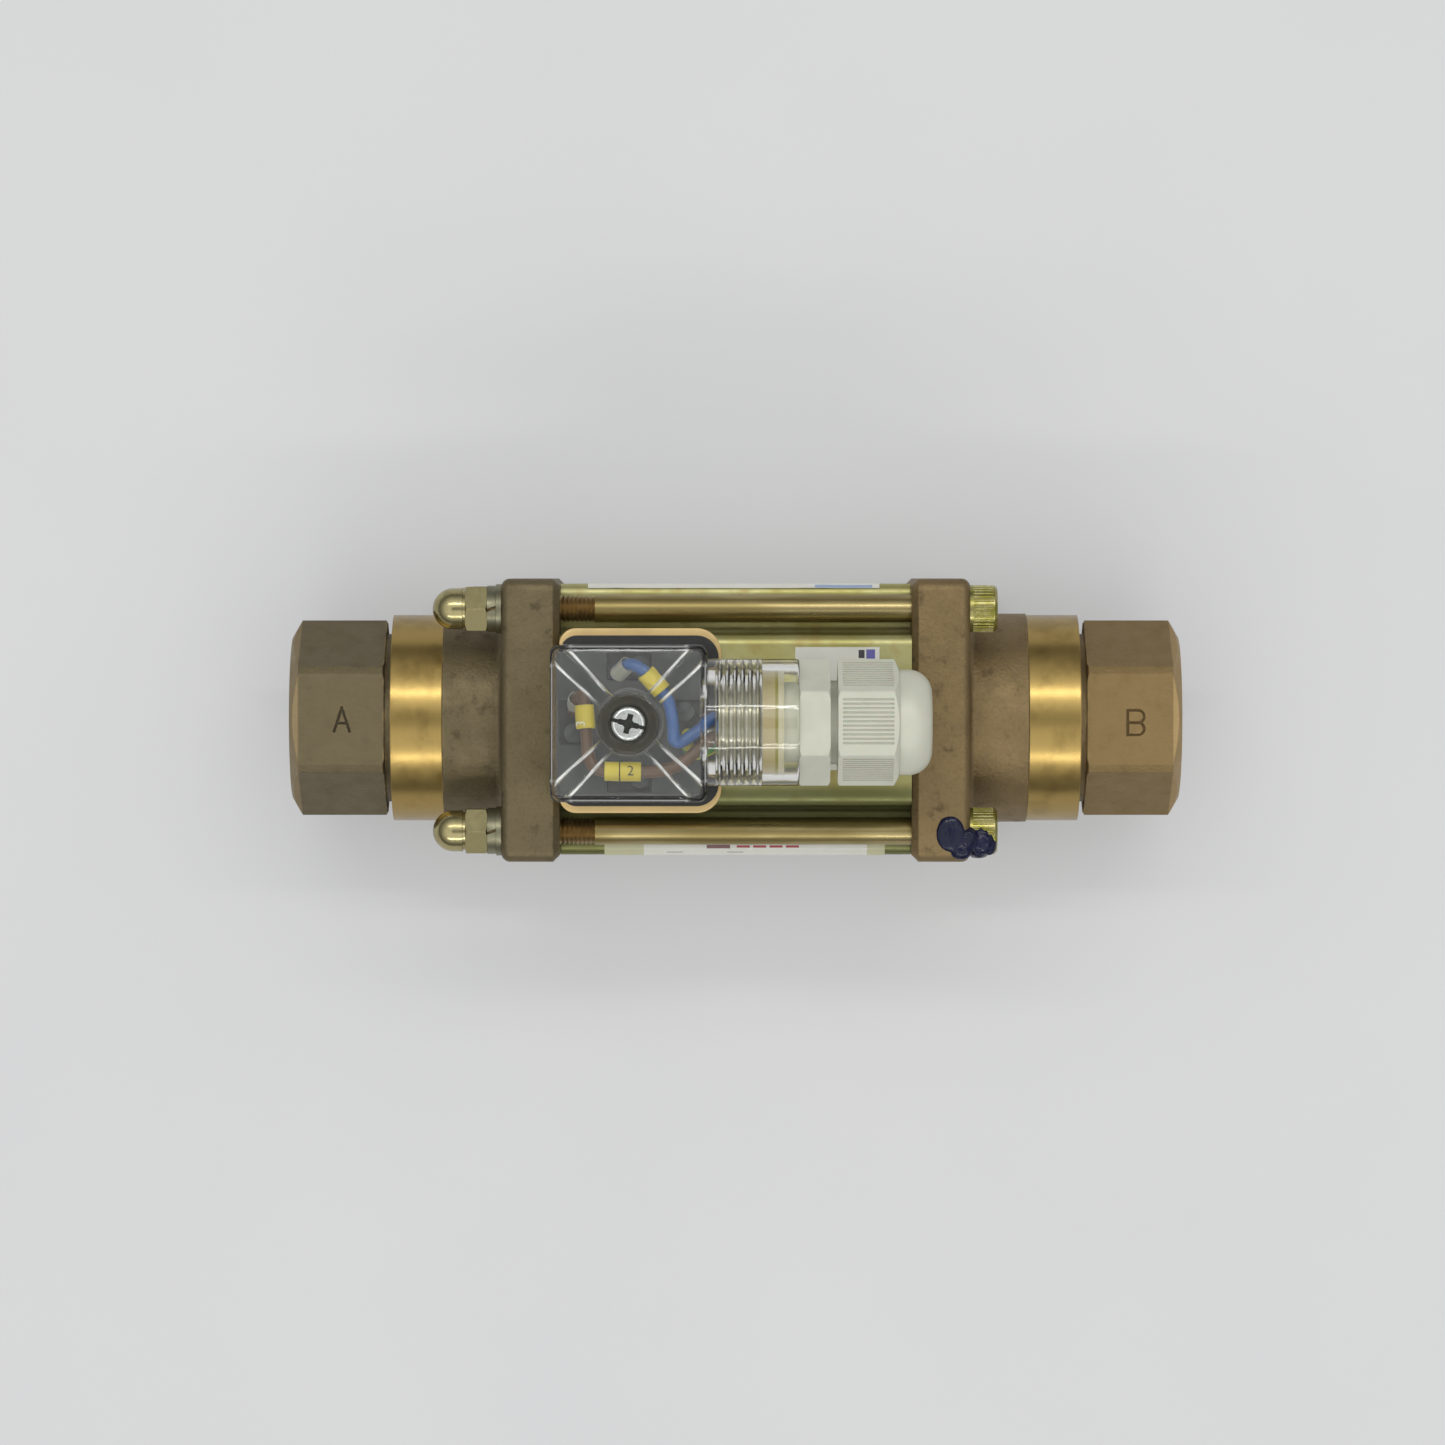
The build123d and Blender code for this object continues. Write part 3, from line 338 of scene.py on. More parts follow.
def floor():
    """Pale paper that glows a little of itself, like a light table, so that the shadows stay soft."""
    mesh = bpy.data.meshes.new("floor")
    low, high = -FLOOR_REACH, FLOOR_REACH
    mesh.from_pydata([(low, low, 0), (high, low, 0), (high, high, 0), (low, high, 0)], [], [(0, 1, 2, 3)])
    obj = bpy.data.objects.new("floor", mesh)
    bpy.context.scene.collection.objects.link(obj)
    paper = Graph("floor_paper")
    mottled = paper.noise(0.12, 4)
    shade = paper.ramp(mottled, (0.35, srgb(170, 170, 171)), (0.65, srgb(173, 173, 173)))
    paper.set(colour=shade, rough=0.75)
    paper.shader.inputs["Emission Color"].default_value = (0.98, 0.99, 1.0, 1)
    paper.shader.inputs["Emission Strength"].default_value = FLOOR_GLOW
    mesh.materials.append(paper.material)


# ---- Materials ----

def cast_bronze(name, tone, edge_tone, hex_tone, chamfer_tone, mark_tone):
    """Sand-cast bronze with a brown skin, rubbed edges, a turned bright band and machined ends."""
    g = Graph(name)
    along = g.math("ABSOLUTE", g.axis(0))
    from_axis = g.vector("SUBTRACT", g.vector("MULTIPLY", g.position, (0, 1, 1)), (0, 0, AXIS_Z))
    radius = g.vector("LENGTH", from_axis)
    cloud = g.noise(9 * MM, 4, 0.6)
    grain = g.noise(0.6 * MM, 4, 0.65)
    stain = g.noise(3.5 * MM, 5, 0.6)
    skin = g.mix(g.span(cloud, 0.35, 0.65), tone, scaled(tone, 1.18))
    skin = g.mix(g.span(stain, 0.57, 0.74), skin, scaled(tone, 0.62))
    skin = g.mix(g.product(g.span(grain, 0.45, 0.7), 0.3), skin, scaled(tone, 0.6))
    skin = g.mix(g.product(g.span(along, *HEX_START), 0.75), skin, hex_tone)
    rubbed = g.span(g.noise(2.6 * MM, 4), 0.42, 0.66)
    skin = g.mix(g.product(g.edges(0.9 * MM), rubbed, 0.75), skin, edge_tone)
    end_chamfer = g.product(g.span(along, *CHAMFER_START), g.span(radius, *CHAMFER_RADIUS))
    skin = g.mix(g.product(end_chamfer, 0.7), skin, chamfer_tone)
    inked = g.product(
        g.fade(g.axis(2), MARK_FLOOR, MARK_MOUTH),
        g.span(g.axis(2), AXIS_Z, MARK_FLOOR - 2 * MM),
        g.span(along, *LETTER_START),
        g.fade(along, *LETTER_END),
        g.fade(g.math("ABSOLUTE", g.axis(1)), *LETTER_HALF_WIDTH),
    )
    skin = g.mix(g.product(inked, 0.85), skin, mark_tone)
    rings = g.noise(0.35 * MM, 2, 0.6, g.combine(g.axis(0), 0.0, 0.0))
    turned = g.product(g.span(along, *BAND_START), g.fade(along, *BAND_END), g.span(radius, *BAND_RADIUS))
    bore = g.product(g.fade(radius, *BORE_RADIUS), g.span(along, *BORE_START))
    machined = g.math("MAXIMUM", turned, bore, clamp=True)
    tarnish = g.product(g.span(g.noise(5 * MM, 4), 0.45, 0.75), 0.5)
    brass = g.mix(tarnish, srgb(172, 147, 88), srgb(118, 98, 54))
    brass = g.mix(g.product(rings, 0.35), brass, srgb(132, 108, 62))
    g.set(colour=g.mix(machined, skin, brass))
    g.set(metal=g.math("MULTIPLY_ADD", machined, 0.25, 0.72))
    skin_rough = g.span(stain, 0.3, 0.7, 0.42, 0.56)
    g.set(rough=g.math("MULTIPLY_ADD", machined, g.math("SUBTRACT", 0.26, skin_rough), skin_rough))
    lumps = g.math("ADD", grain, g.math("MULTIPLY", cloud, 1.5))
    cast_height = g.product(lumps, g.math("SUBTRACT", 1.0, machined))
    g.bump((cast_height, 0.12 * MM), (g.product(rings, machined), 0.012 * MM), rounded=0.35 * MM)
    return g.material


def plated(name, tone, other, third, rough):
    """Chromated zinc on steel, with soft drifts of colour and painted shade: a darker green along the -Y
    edge.
    """
    g = Graph(name)
    drift = g.noise(14 * MM, 3, 0.5, distortion=0.6)
    patch = g.noise(4 * MM, 4, 0.6)
    colour = g.mix(g.span(drift, 0.38, 0.62), tone, other)
    colour = g.mix(g.product(g.span(patch, 0.5, 0.72), 0.55), colour, third)
    # Painted shade: the housing turns a darker green towards its -Y edge, where it lies in shadow.
    colour = g.mix(g.product(g.fade(g.axis(1), *HOUSING_SHADE_EDGE), 0.8), colour, srgb(92, 96, 58))
    fine = g.noise(0.35 * MM, 3, 0.6)
    g.set(colour=colour, metal=0.82, rough=g.span(patch, 0.3, 0.7, rough - 0.05, rough + 0.07))
    g.bump((fine, 0.006 * MM), rounded=0.15 * MM)
    return g.material


def tie_bolt_plating():
    """Gold chromate on the shanks, coppery on the rolled threads, greener on the heads."""
    g = Graph("tie_bolt_plating")
    x = g.axis(0)
    drift = g.noise(6 * MM, 3, 0.5, g.stretched(0.25, 1, 1))
    shank = g.mix(g.span(drift, 0.4, 0.62), srgb(164, 149, 104), srgb(138, 123, 78))
    thread = g.mix(g.noise(1.2 * MM, 3), srgb(170, 150, 108), srgb(132, 108, 72))
    head = g.mix(g.span(g.noise(2.4 * MM, 2), 0.38, 0.62), srgb(136, 131, 62), srgb(158, 151, 100))
    colour = g.mix(g.fade(x, *BOLT_THREAD_END), shank, thread)
    colour = g.mix(g.span(x, *BOLT_HEAD_START), colour, head)
    g.set(colour=colour, metal=0.9, rough=g.span(drift, 0.3, 0.7, 0.24, 0.38))
    g.bump((g.noise(0.3 * MM, 3), 0.008 * MM))
    return g.material


def screw_zinc():
    """Bright zinc on the screw's head, with painted shade dark in its recess."""
    g = Graph("bright_zinc")
    # Painted shade: the cross recess, below the head's top, is coloured dark grey.
    recess_shade = g.fade(g.axis(2), SCREW[1].z - 0.5 * MM, SCREW[1].z - 0.15 * MM)
    patch = g.noise(1.2 * MM, 4, 0.6)
    bright = g.mix(g.span(patch, 0.35, 0.7), srgb(232, 236, 232), srgb(196, 200, 194))
    g.set(colour=g.mix(recess_shade, bright, srgb(74, 76, 70)), metal=0.95)
    g.set(rough=g.span(patch, 0.3, 0.7, 0.18, 0.34))
    g.bump((g.noise(0.25 * MM, 3), 0.006 * MM), rounded=0.12 * MM)
    return g.material


def plain_metal(name, tone, rough, metal=1.0, mottled=0.12, size=2.5):
    g = Graph(name)
    patch = g.noise(size * MM, 4, 0.6)
    g.set(colour=g.mix(g.span(patch, 0.35, 0.7), tone, scaled(tone, 1 - 2 * mottled)), metal=metal)
    g.set(rough=g.span(patch, 0.3, 0.7, rough - 0.05, rough + 0.08))
    g.bump((g.noise(0.25 * MM, 3), 0.006 * MM), rounded=0.12 * MM)
    return g.material


def turned_metal(name, tone, rough, metal=1.0):
    """Turned about the flow axis: fine rings along X."""
    g = Graph(name)
    rings = g.noise(0.18 * MM, 2, 0.6, g.combine(g.axis(0), 0.0, 0.0))
    g.set(colour=g.mix(rings, tone, scaled(tone, 0.8)), metal=metal, rough=rough)
    g.bump((rings, 0.01 * MM), rounded=0.1 * MM)
    return g.material


def moulded(name, tone, rough=0.45, speckle=0.06, texture=0.02, coat=0.0, subsurface=0.0):
    """Moulded plastic or rubber with a fine skin texture and slight unevenness."""
    g = Graph(name)
    cloud = g.noise(6 * MM, 3)
    fine = g.noise(0.4 * MM, 4, 0.6)
    colour = g.mix(g.span(cloud, 0.35, 0.65), tone, scaled(tone, 1 - 2 * speckle))
    g.set(colour=colour, rough=g.span(fine, 0.3, 0.7, rough - 0.04, rough + 0.06), coat=coat)
    g.set(subsurface=subsurface)
    g.shader.inputs["Subsurface Scale"].default_value = 1.0 * MM
    g.bump((fine, texture * MM), rounded=0.2 * MM)
    return g.material


def cover_glints(g):
    """Painted highlight on the cover's roof, and how strongly it shows: along both sides of its diagonal ribs
    and round its rim.
    """
    across_x = g.math("ABSOLUTE", g.math("SUBTRACT", g.axis(0), PLUG_X))
    across_y = g.math("ABSOLUTE", g.axis(1))
    diagonal = math.sqrt(0.5)
    off_rib = g.product(g.math("ABSOLUTE", g.math("SUBTRACT", across_x, across_y)), diagonal)
    reach = g.product(g.math("ADD", across_x, across_y), diagonal)
    rib_half = g.span(reach, *RIB_REACH, *RIB_HALF_WIDTHS)
    ribs = g.product(
        g.fade(g.math("ABSOLUTE", g.math("SUBTRACT", off_rib, rib_half)), 0.06 * MM, 0.34 * MM),
        g.span(reach, *RIB_START),
        g.fade(reach, *RIB_END),
        g.span(g.noise(2.2 * MM, 3), 0.3, 0.6, 0.35, 1.0),
    )
    from_rim = g.math("SUBTRACT", g.math("MAXIMUM", across_x, across_y), COVER[1].y - RIM_INSET)
    rim = g.span(g.math("ABSOLUTE", from_rim), 0.04 * MM, 0.22 * MM, 0.45, 0.0)
    lines = g.math("MAXIMUM", ribs, g.product(rim, g.fade(reach, *RIM_CORNER)))
    on_roof = g.span(g.axis(2), COVER[1].z - 7 * MM, COVER[1].z - 5 * MM)
    return g.product(lines, on_roof, 0.75)


def clear_plastic(name, tint):
    """Clear plastic that lets light through to what is under it, with painted highlights along its ribs and
    rim.
    """
    g = Graph(name)
    glint = cover_glints(g)
    # Painted highlight: where the glint mask is high, the cover turns whitish and less clear.
    g.set(colour=g.mix(glint, tint, (0.9, 0.91, 0.89)), ior=1.49)
    g.set(transmission=g.math("SUBTRACT", 1.0, glint))
    g.set(rough=g.span(g.noise(3 * MM, 3), 0.35, 0.7, 0.03, 0.07))
    g.bump((g.noise(4 * MM, 2), 0.05 * MM), rounded=0.3 * MM)
    clear = g.nodes.new("ShaderNodeBsdfTransparent")
    clear.inputs[0].default_value = (*scaled(tint, 0.85), 1)
    path = g.nodes.new("ShaderNodeLightPath")
    blend = g.nodes.new("ShaderNodeMixShader")
    g.links.new(path.outputs["Is Shadow Ray"], blend.inputs[0])
    g.links.new(g.shader.outputs[0], blend.inputs[1])
    g.links.new(clear.outputs[0], blend.inputs[2])
    g.links.new(blend.outputs[0], g.output.inputs[0])
    return g.material


def terminal_plastic():
    """Slate plastic, browner and darker round the screw's well."""
    g = Graph("slate_plastic")
    from_screw = g.vector("SUBTRACT", g.vector("MULTIPLY", g.position, (1, 1, 0)), (PLUG_X, 0, 0))
    well = g.fade(g.vector("LENGTH", from_screw), *WELL_RADIUS)
    cloud = g.noise(4 * MM, 4, 0.6)
    slate = g.mix(g.span(cloud, 0.35, 0.7), srgb(44, 48, 46), srgb(57, 61, 58))
    g.set(colour=g.mix(well, slate, srgb(60, 54, 38)), rough=0.42)
    g.bump((g.noise(0.4 * MM, 4, 0.6), 0.02 * MM), rounded=0.2 * MM)
    return g.material


def seal_ring_rubber():
    """The gland's seal stack: beige, a thin olive washer, then cream."""
    g = Graph("seal_ring_rubber")
    x = g.axis(0)
    beige = g.mix(g.noise(2 * MM, 3), srgb(166, 153, 113), srgb(150, 136, 95))
    colour = g.mix(g.span(x, *OLIVE_START), beige, srgb(130, 122, 46))
    colour = g.mix(g.span(x, *CREAM_START), colour, srgb(178, 172, 144))
    g.set(colour=colour, rough=0.45)
    g.bump((g.noise(0.5 * MM, 3), 0.03 * MM), rounded=0.2 * MM)
    return g.material


def gland_thread_plastic():
    """The gland's own plastic, with a wet grey look where its thread sits in the clear neck."""
    g = Graph("gland_body_plastic")
    fine = g.noise(0.4 * MM, 4, 0.6)
    inside = g.fade(g.axis(0), *GLAND_THREAD_END)
    outside = g.mix(g.span(g.noise(6 * MM, 3), 0.35, 0.65), srgb(197, 198, 181), srgb(190, 191, 174))
    streaks = g.noise(1.2 * MM, 3, 0.6, g.stretched(2.5, 1, 1))
    thread = g.mix(streaks, srgb(128, 124, 100), srgb(176, 171, 146))
    g.set(colour=g.mix(inside, outside, thread), metal=g.product(inside, 0.45))
    g.set(rough=g.math("MULTIPLY_ADD", inside, -0.22, 0.4))
    g.bump((fine, 0.02 * MM), rounded=0.15 * MM)
    return g.material


def striped_insulation():
    """Green insulation with a yellow stripe that winds round the wire."""
    g = Graph("green_yellow_insulation")
    wave = g.math("SINE", g.product(g.math("ADD", g.axis(1), g.axis(2)), STRIPE_WAVE))
    g.set(colour=g.mix(g.span(wave, -0.3, 0.3), srgb(60, 130, 50), srgb(205, 190, 50)), rough=0.38)
    g.bump((g.noise(0.5 * MM, 3), 0.01 * MM))
    return g.material


def copper_winding():
    g = Graph("copper_winding")
    turns = g.math("SINE", g.product(g.axis(0), 2 * math.pi / COIL_WIRE))
    # Painted shade and highlight: darker in the grooves between turns, lighter on each turn's crest.
    g.set(colour=g.mix(g.span(turns, -1, 1), srgb(110, 52, 26), srgb(188, 104, 58)), metal=0.85, rough=0.32)
    g.bump((turns, 0.06 * MM))
    return g.material


def lacquer():
    g = Graph("navy_lacquer")
    swirl = g.noise(2.5 * MM, 3, distortion=1.2)
    g.set(colour=g.mix(swirl, srgb(9, 11, 32), srgb(22, 26, 58)), rough=0.12, specular=0.3)
    g.bump((swirl, 0.25 * MM))
    return g.material


def printed_label(name, across, marks, ragged=0.0):
    """White film with generic printed blocks, given as (x0, x1, low, high, colour) in metres.

    across is the height up the film: "y" on a flat film, or "unrolled" on one that folds over the ledge.
    """
    g = Graph(name)
    height = g.axis(1)
    if across == "unrolled":
        fold = g.math("SUBTRACT", LEDGE_EDGE, g.math("ABSOLUTE", g.axis(1)))
        height = g.math("ADD", g.math("SUBTRACT", g.axis(2), AXIS_Z), fold)
    if ragged:
        wobble = g.noise(9 * MM, 2, 0.5, g.combine(g.axis(0), 0.0, 0.0))
        height = g.math("ADD", height, g.product(g.math("SUBTRACT", wobble, 0.5), ragged))
    colour = g.mix(g.noise(5 * MM, 3), srgb(224, 223, 214), srgb(206, 206, 196))
    soft = 0.05 * MM
    for x0, x1, low, high, ink in marks:
        inside = g.product(
            g.span(g.axis(0), x0 - soft, x0 + soft),
            g.fade(g.axis(0), x1 - soft, x1 + soft),
            g.span(height, low - soft, low + soft),
            g.fade(height, high - soft, high + soft),
        )
        colour = g.mix(inside, colour, ink)
    g.set(colour=colour, rough=0.42, coat=0.15)
    g.bump((g.noise(1.5 * MM, 3), 0.015 * MM))
    return g.material


def dashes(x0, x1, length, gap, low, high, ink):
    """A row of short bars that stands for a line of print."""
    row = []
    place = x0
    while place + length <= x1:
        row.append((place, place + length, low, high, ink))
        place += length + gap
    return row


def label_prints():
    dark = srgb(58, 54, 60)
    violet = srgb(96, 92, 160)
    grey = srgb(128, 130, 132)
    blue = srgb(150, 168, 196)
    red = srgb(164, 60, 62)
    tape = srgb(188, 186, 150)
    paint(printed_label("top_print", "y", [
        (22.3 * MM, 23.4 * MM, 11.3 * MM, 12.8 * MM, dark),
        (23.7 * MM, 25.3 * MM, 11.2 * MM, 12.9 * MM, violet),
    ]), "top_label")
    left = [
        (-30 * MM, 30 * MM, 16.35 * MM, 16.62 * MM, dark),
        (14.5 * MM, 25 * MM, 15.2 * MM, 16.25 * MM, blue),
        (-22 * MM, -6 * MM, 6.5 * MM, 9 * MM, dark),
    ]
    for row in (4.0, 1.0, -2.0, -5.0):
        left += dashes(-22 * MM, 14 * MM, 5.2 * MM, 0.9 * MM, (row - 0.4) * MM, (row + 0.4) * MM, grey)
    paint(printed_label("left_print", "unrolled", left, ragged=0.5 * MM), "side_label_left")
    right = [
        (-26 * MM, -16.8 * MM, -12 * MM, 18 * MM, tape),
        (24 * MM, 28 * MM, -12 * MM, 18 * MM, tape),
        (-5.3 * MM, -1.0 * MM, 16.9 * MM, 17.7 * MM, srgb(120, 84, 84)),
        (-12.6 * MM, -9.6 * MM, 15.7 * MM, 15.95 * MM, grey),
        (-1.5 * MM, 1.4 * MM, 15.7 * MM, 15.95 * MM, grey),
        (-12 * MM, 4 * MM, 6.5 * MM, 9.5 * MM, red),
    ]
    right += dashes(0.2 * MM, 13 * MM, 2.4 * MM, 0.6 * MM, 17.1 * MM, 17.6 * MM, red)
    for row in (3.0, 0.0, -3.0, -6.0):
        right += dashes(-12 * MM, 22 * MM, 4.6 * MM, 0.9 * MM, (row - 0.4) * MM, (row + 0.4) * MM, grey)
    paint(printed_label("right_print", "unrolled", right), "side_label_right")


def paint(material, *names):
    """Gives CAD nodes this material in every slot."""
    for name in names:
        slots = NODES[name].material_slots
        for one in slots:
            one.material = material
        if not slots:
            NODES[name].data.materials.append(material)


def materials():
    gold = srgb(178, 150, 96)
    bronze_a = cast_bronze(
        "cast_bronze_a", srgb(104, 93, 68), gold, srgb(107, 97, 72), srgb(150, 132, 98), srgb(60, 52, 40)
    )
    bronze_b = cast_bronze(
        "cast_bronze_b", srgb(120, 102, 70), gold, srgb(134, 112, 72), srgb(174, 148, 104), srgb(90, 70, 44)
    )
    housing = plated("housing_plating", srgb(164, 158, 98), srgb(176, 172, 122), srgb(160, 138, 82), 0.4)
    gland = moulded("gland_plastic", srgb(197, 198, 181), 0.36, 0.02, 0.02, subsurface=0.15)
    paint(bronze_a, "port_flange_a")
    paint(bronze_b, "port_flange_b")
    paint(tie_bolt_plating(), "tie_bolts")
    paint(housing, "coil_housing")
    paint(plain_metal("cap_nut_plating", srgb(172, 162, 118), 0.2), "dome_nuts")
    paint(plain_metal("washer_plating", srgb(130, 127, 104), 0.36, 0.9), "flat_washers", "spring_washers")
    paint(turned_metal("stainless_steel", srgb(186, 186, 184), 0.25), "guide_tube", "control_tube")
    paint(plain_metal("machined_stainless", srgb(180, 180, 178), 0.28), "seat_spider", "seat_screw")
    paint(turned_metal("magnetic_steel", srgb(150, 150, 152), 0.34), "fixed_core", "armature", "pole_plates")
    paint(plain_metal("spring_steel", srgb(150, 152, 156), 0.3), "return_spring", "seat_clip")
    paint(turned_metal("carrier_bronze", srgb(186, 154, 92), 0.32), "guide_carriers")
    paint(moulded("bearing_plastic", srgb(96, 88, 76), 0.5), "guide_bushes")
    paint(moulded("seal_rubber", srgb(34, 34, 35), 0.6), "lip_seals", "tube_o_rings", "carrier_o_rings",
          "seat_seal", "gland_seal", "screw_seal")
    paint(copper_winding(), "coil_winding")
    paint(plain_metal("copper_wire", srgb(190, 110, 64), 0.3), "coil_leads")
    paint(moulded("bobbin_plastic", srgb(52, 52, 55), 0.5), "coil_bobbin")
    paint(moulded("tan_plastic", srgb(230, 198, 134), 0.42, 0.05, 0.03), "connector_base")
    paint(moulded("gasket_rubber", srgb(44, 44, 44), 0.62, 0.1, 0.05), "profile_gasket")
    paint(plain_metal("tinned_brass", srgb(200, 192, 160), 0.28), "contact_pins", "earth_pin", "screw_insert")
    # Painted shade: the clamps are tinned brass, coloured a dark dull grey because they sit in shadow under
    # the cover.
    paint(plain_metal("clamp_metal_in_shade", srgb(74, 75, 70), 0.4), "terminal_clamps")
    paint(plain_metal("dull_zinc", srgb(92, 95, 93), 0.35), "terminal_screws")
    paint(screw_zinc(), "plug_screw")
    paint(clear_plastic("clear_cover", (0.95, 0.955, 0.93)), "plug_cover")
    paint(terminal_plastic(), "terminal_block")
    paint(gland, "gland_nut", "gland_claw")
    paint(gland_thread_plastic(), "gland_body")
    paint(seal_ring_rubber(), "gland_seal_ring")
    paint(moulded("blue_insulation", srgb(40, 82, 140), 0.36), "blue_wire")
    paint(moulded("brown_insulation", srgb(84, 60, 36), 0.36), "brown_wire")
    paint(striped_insulation(), "earth_wire")
    paint(moulded("ferrule_plastic", srgb(150, 150, 138), 0.4), "wire_ferrules")
    paint(moulded("marker_plastic", srgb(190, 172, 46), 0.42), "wire_markers")
    paint(lacquer(), "seal_lacquer")
    label_prints()


# ---- Pieces ----

def add_mesh(name, vertices, faces, material, body):
    """A smooth-shaded mesh object that rides on a body."""
    mesh = bpy.data.meshes.new(name)
    mesh.from_pydata(vertices, [], faces)
    mesh.update()
    mesh.materials.append(material)
    mesh.polygons.foreach_set("use_smooth", [True] * len(mesh.polygons))
    obj = bpy.data.objects.new(name, mesh)
    bpy.context.scene.collection.objects.link(obj)
    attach(obj, body)
    return obj


PORT_R = 13.25 * MM
THREAD_PITCH = 1.814 * MM
THREAD_CREST = 1.1 * MM
THREAD_START = 66.3 * MM
THREAD_TURNS = 7.6
THREAD_STEPS = 64
THREAD_FADE_STEPS = 16
THREAD_SINK = 0.04 * MM


def port_thread(name, side, material):
    """Helical ridge of the port's internal thread: a narrow-topped section wound along the bore."""
    half = THREAD_PITCH * 0.46
    crest = 0.15 * half
    section = [(-half, THREAD_SINK), (-crest, -THREAD_CREST), (crest, -THREAD_CREST), (half, THREAD_SINK)]
    steps = int(THREAD_TURNS * THREAD_STEPS)
    vertices = []
    faces = []
    count = len(section)
    for step in range(steps + 1):
        angle = 2 * math.pi * step / THREAD_STEPS
        centre = THREAD_START + THREAD_PITCH * step / THREAD_STEPS
        fade = min(1.0, step / THREAD_FADE_STEPS, (steps - step) / THREAD_FADE_STEPS)
        for along, depth in section:
            radius = PORT_R + (depth if depth > 0 else depth * fade)
            y = radius * math.cos(angle)
            z = radius * math.sin(angle)
            vertices.append((side * (centre + along), y * side, AXIS_Z + z))
    for step in range(steps):
        base = step * count
        for k in range(count):
            after = (k + 1) % count
            faces.append((base + k, base + after, base + count + after, base + count + k))
    faces.append(tuple(range(count)))
    faces.append(tuple(reversed(range(steps * count, steps * count + count))))
    obj = add_mesh(name, vertices, faces, material, "valve_body")
    tidy = bmesh.new()
    tidy.from_mesh(obj.data)
    bmesh.ops.recalc_face_normals(tidy, faces=tidy.faces)
    tidy.to_mesh(obj.data)
    tidy.free()


def applied(obj, *modifiers):
    """The object's mesh with modifiers, given as (type, settings), worked in."""
    for kind, settings in modifiers:
        modifier = obj.modifiers.new(kind.lower(), kind)
        for key, value in settings.items():
            setattr(modifier, key, value)
    graph = bpy.context.evaluated_depsgraph_get()
    mesh = bpy.data.meshes.new_from_object(obj.evaluated_get(graph))
    obj.modifiers.clear()
    obj.data = mesh
    return obj


SCREW_HEAD_TOP = 24.5 * MM
LACQUER_VOXEL = 0.16 * MM
LACQUER_LUMP = 1.3 * MM
HEAD_SIDE_START = 10 * MM


def seal_lacquer(material):
    """Thick lacquer run from the flange's top, over its edge and onto the screw head beside it."""
    head_top = AXIS_Z + SCREW_HEAD_TOP
    flange_top = FLANGE_B[1].z
    lobes = [
        ((39.0, -20.6), flange_top, (2.65, 3.3, 0.8)),
        ((38.6, -19.4), flange_top, (1.9, 2.0, 0.75)),
        ((40.9, -23.6), flange_top - 0.5 * MM, (2.1, 1.75, 1.2)),
        ((42.3, -21.6), flange_top - 1.4 * MM, (1.7, 2.3, 1.8)),
        ((44.8, -21.9), head_top - 0.75 * MM, (2.4, 2.6, 1.25)),
        ((46.0, -22.6), head_top - 1.2 * MM, (1.5, 2.0, 1.35)),
        ((44.2, -24.0), head_top - 2.1 * MM, (1.9, 1.3, 1.7)),
    ]
    blob = bmesh.new()
    for (x, y), z, radii in lobes:
        place = Matrix.Translation((x * MM, y * MM, z)) @ Matrix.Diagonal((*[r * MM for r in radii], 1))
        bmesh.ops.create_icosphere(blob, subdivisions=4, radius=1, matrix=place)
    mesh = bpy.data.meshes.new("lacquer_run")
    blob.to_mesh(mesh)
    blob.free()
    obj = bpy.data.objects.new("lacquer_run", mesh)
    bpy.context.scene.collection.objects.link(obj)
    applied(
        obj,
        ("REMESH", {"mode": "VOXEL", "voxel_size": LACQUER_VOXEL}),
        ("SMOOTH", {"factor": 0.6, "iterations": 14}),
    )
    for vertex in obj.data.vertices:
        spot = vertex.co / LACQUER_LUMP
        rough = 0.05 if vertex.co.x < FLANGE_B[0].x + HEAD_SIDE_START else 0.3
        vertex.co.z += rough * MM * noise.noise(spot)
        vertex.co.y += 0.5 * rough * MM * noise.noise(spot + Vector((7, 3, 1)))
    obj.data.materials.clear()
    obj.data.materials.append(material)
    obj.data.polygons.foreach_set("use_smooth", [True] * len(obj.data.polygons))
    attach(obj, "valve_body")
    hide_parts("seal_lacquer")


def digit(name, character, size, material, shape):
    """A numeral as a thin mesh. shape turns its flat (across, up, out) points into places on the valve."""
    curve = bpy.data.curves.new(name, "FONT")
    curve.body = character
    curve.size = size
    curve.align_x = "CENTER"
    curve.align_y = "CENTER"
    curve.extrude = 0.03 * MM
    curve.resolution_u = 6
    text = bpy.data.objects.new(name + "_outline", curve)
    bpy.context.scene.collection.objects.link(text)
    graph = bpy.context.evaluated_depsgraph_get()
    mesh = bpy.data.meshes.new_from_object(text.evaluated_get(graph))
    bpy.data.objects.remove(text)
    for vertex in mesh.vertices:
        vertex.co = shape(*vertex.co)
    mesh.materials.clear()
    mesh.materials.append(material)
    mesh.name = name
    obj = bpy.data.objects.new(name, mesh)
    bpy.context.scene.collection.objects.link(obj)
    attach(obj, "plug")


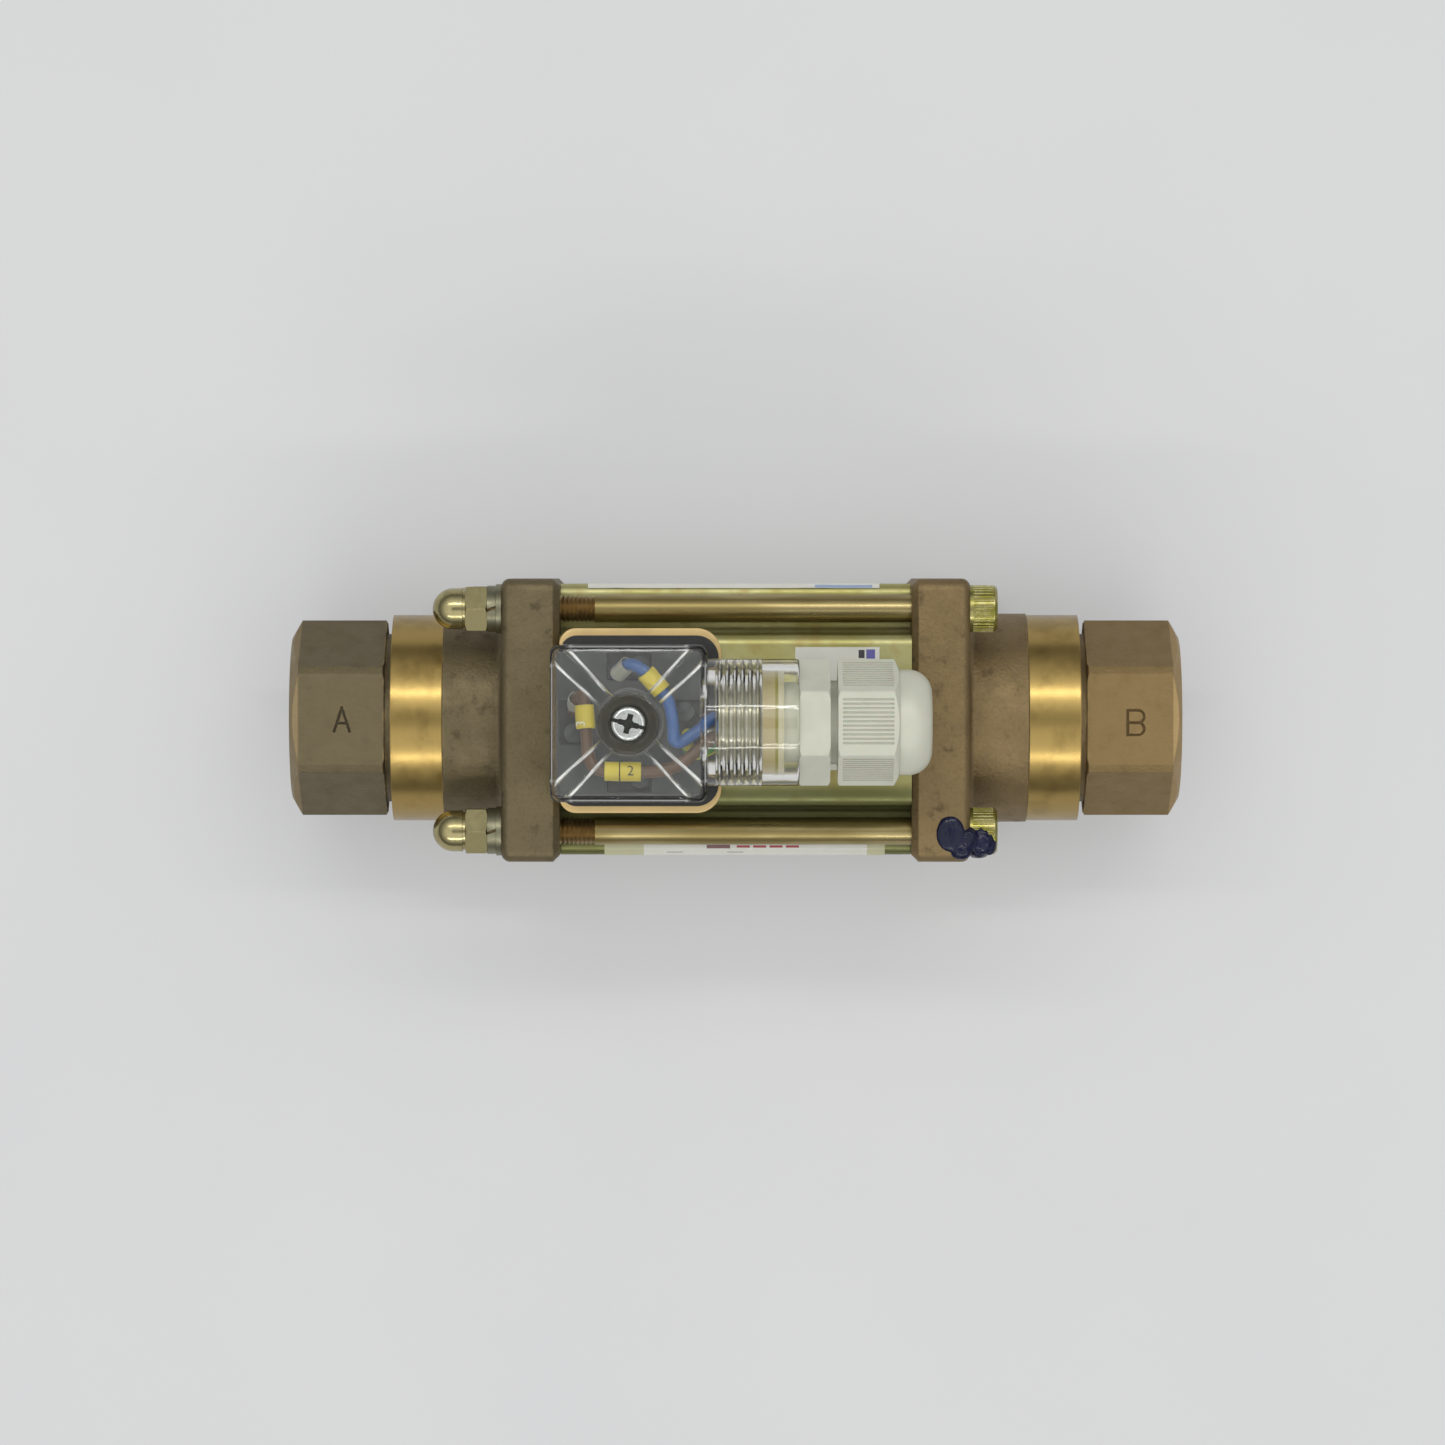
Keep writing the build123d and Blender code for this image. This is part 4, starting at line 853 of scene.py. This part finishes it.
def sleeves(node):
    """The centre, axis and outer radius of each tube in a node."""
    parts = bmesh.new()
    parts.from_mesh(NODES[node].data)
    bmesh.ops.remove_doubles(parts, verts=parts.verts, dist=1e-6)
    found = []
    left = set(parts.faces)
    while left:
        island = {left.pop()}
        front = list(island)
        while front:
            face = front.pop()
            for near in {f for edge in face.edges for f in edge.link_faces} & left:
                left.discard(near)
                island.add(near)
                front.append(near)
        points = np.array([v.co for f in island for v in f.verts])
        normals = np.array([f.normal * math.sqrt(f.calc_area()) for f in island])
        values, directions = np.linalg.eigh(normals.T @ normals)
        axis = Vector(directions[:, 0])
        centre = Vector((points.max(0) + points.min(0)) / 2)
        offsets = points - np.array(centre)
        along = offsets @ np.array(axis)
        radius = np.linalg.norm(offsets - np.outer(along, np.array(axis)), axis=1).max()
        found.append((centre, axis, float(radius)))
    parts.free()
    return found


def marker_digits(material):
    """Wire numbers, wrapped round the tops of the two marker sleeves that face up."""
    ordered = sorted(sleeves("wire_markers"), key=lambda tube: tube[0].y)
    lowest = max(ordered[:2], key=lambda tube: tube[0].x)
    for character, (centre, axis, radius) in (("1", ordered[-1]), ("2", lowest)):
        along = axis if axis.x > 0 else -axis
        side = Vector((0, 0, 1)).cross(along).normalized()
        up = along.cross(side)

        def wrapped(across, height, out, centre=centre, along=along, side=side, up=up, radius=radius):
            turn = height / radius
            lift = radius + 0.02 * MM + out
            return centre + along * across + (side * math.sin(turn) + up * math.cos(turn)) * lift

        digit("marker_digit_" + character, character, 2.6 * MM, material, wrapped)


def roof_digit(material):
    """The terminal number moulded in the cover's roof."""
    x = PLUG_X - 8.4 * MM
    hit, spot, normal, face = NODES["plug_cover"].ray_cast(Vector((x, 0, 1)), Vector((0, 0, -1)))

    def placed(across, height, out):
        flat = Vector((-height, across, 0))
        lean = -(normal.x * flat.x + normal.y * flat.y) / normal.z
        return spot + flat + Vector((0, 0, lean + out))

    digit("roof_digit_3", "3", 2.3 * MM, material, placed)


def pieces():
    thread_metal = turned_metal("thread_brass", srgb(178, 148, 88), 0.3)
    port_thread("port_thread_a", -1, thread_metal)
    port_thread("port_thread_b", 1, thread_metal)
    seal_lacquer(lacquer())
    marker_digits(moulded("marker_ink", srgb(40, 36, 24), 0.5))
    roof_digit(moulded("frosted_digit", srgb(206, 208, 200), 0.5))


# ---- Run ----

camera()
lights()
floor()
materials()
pieces()
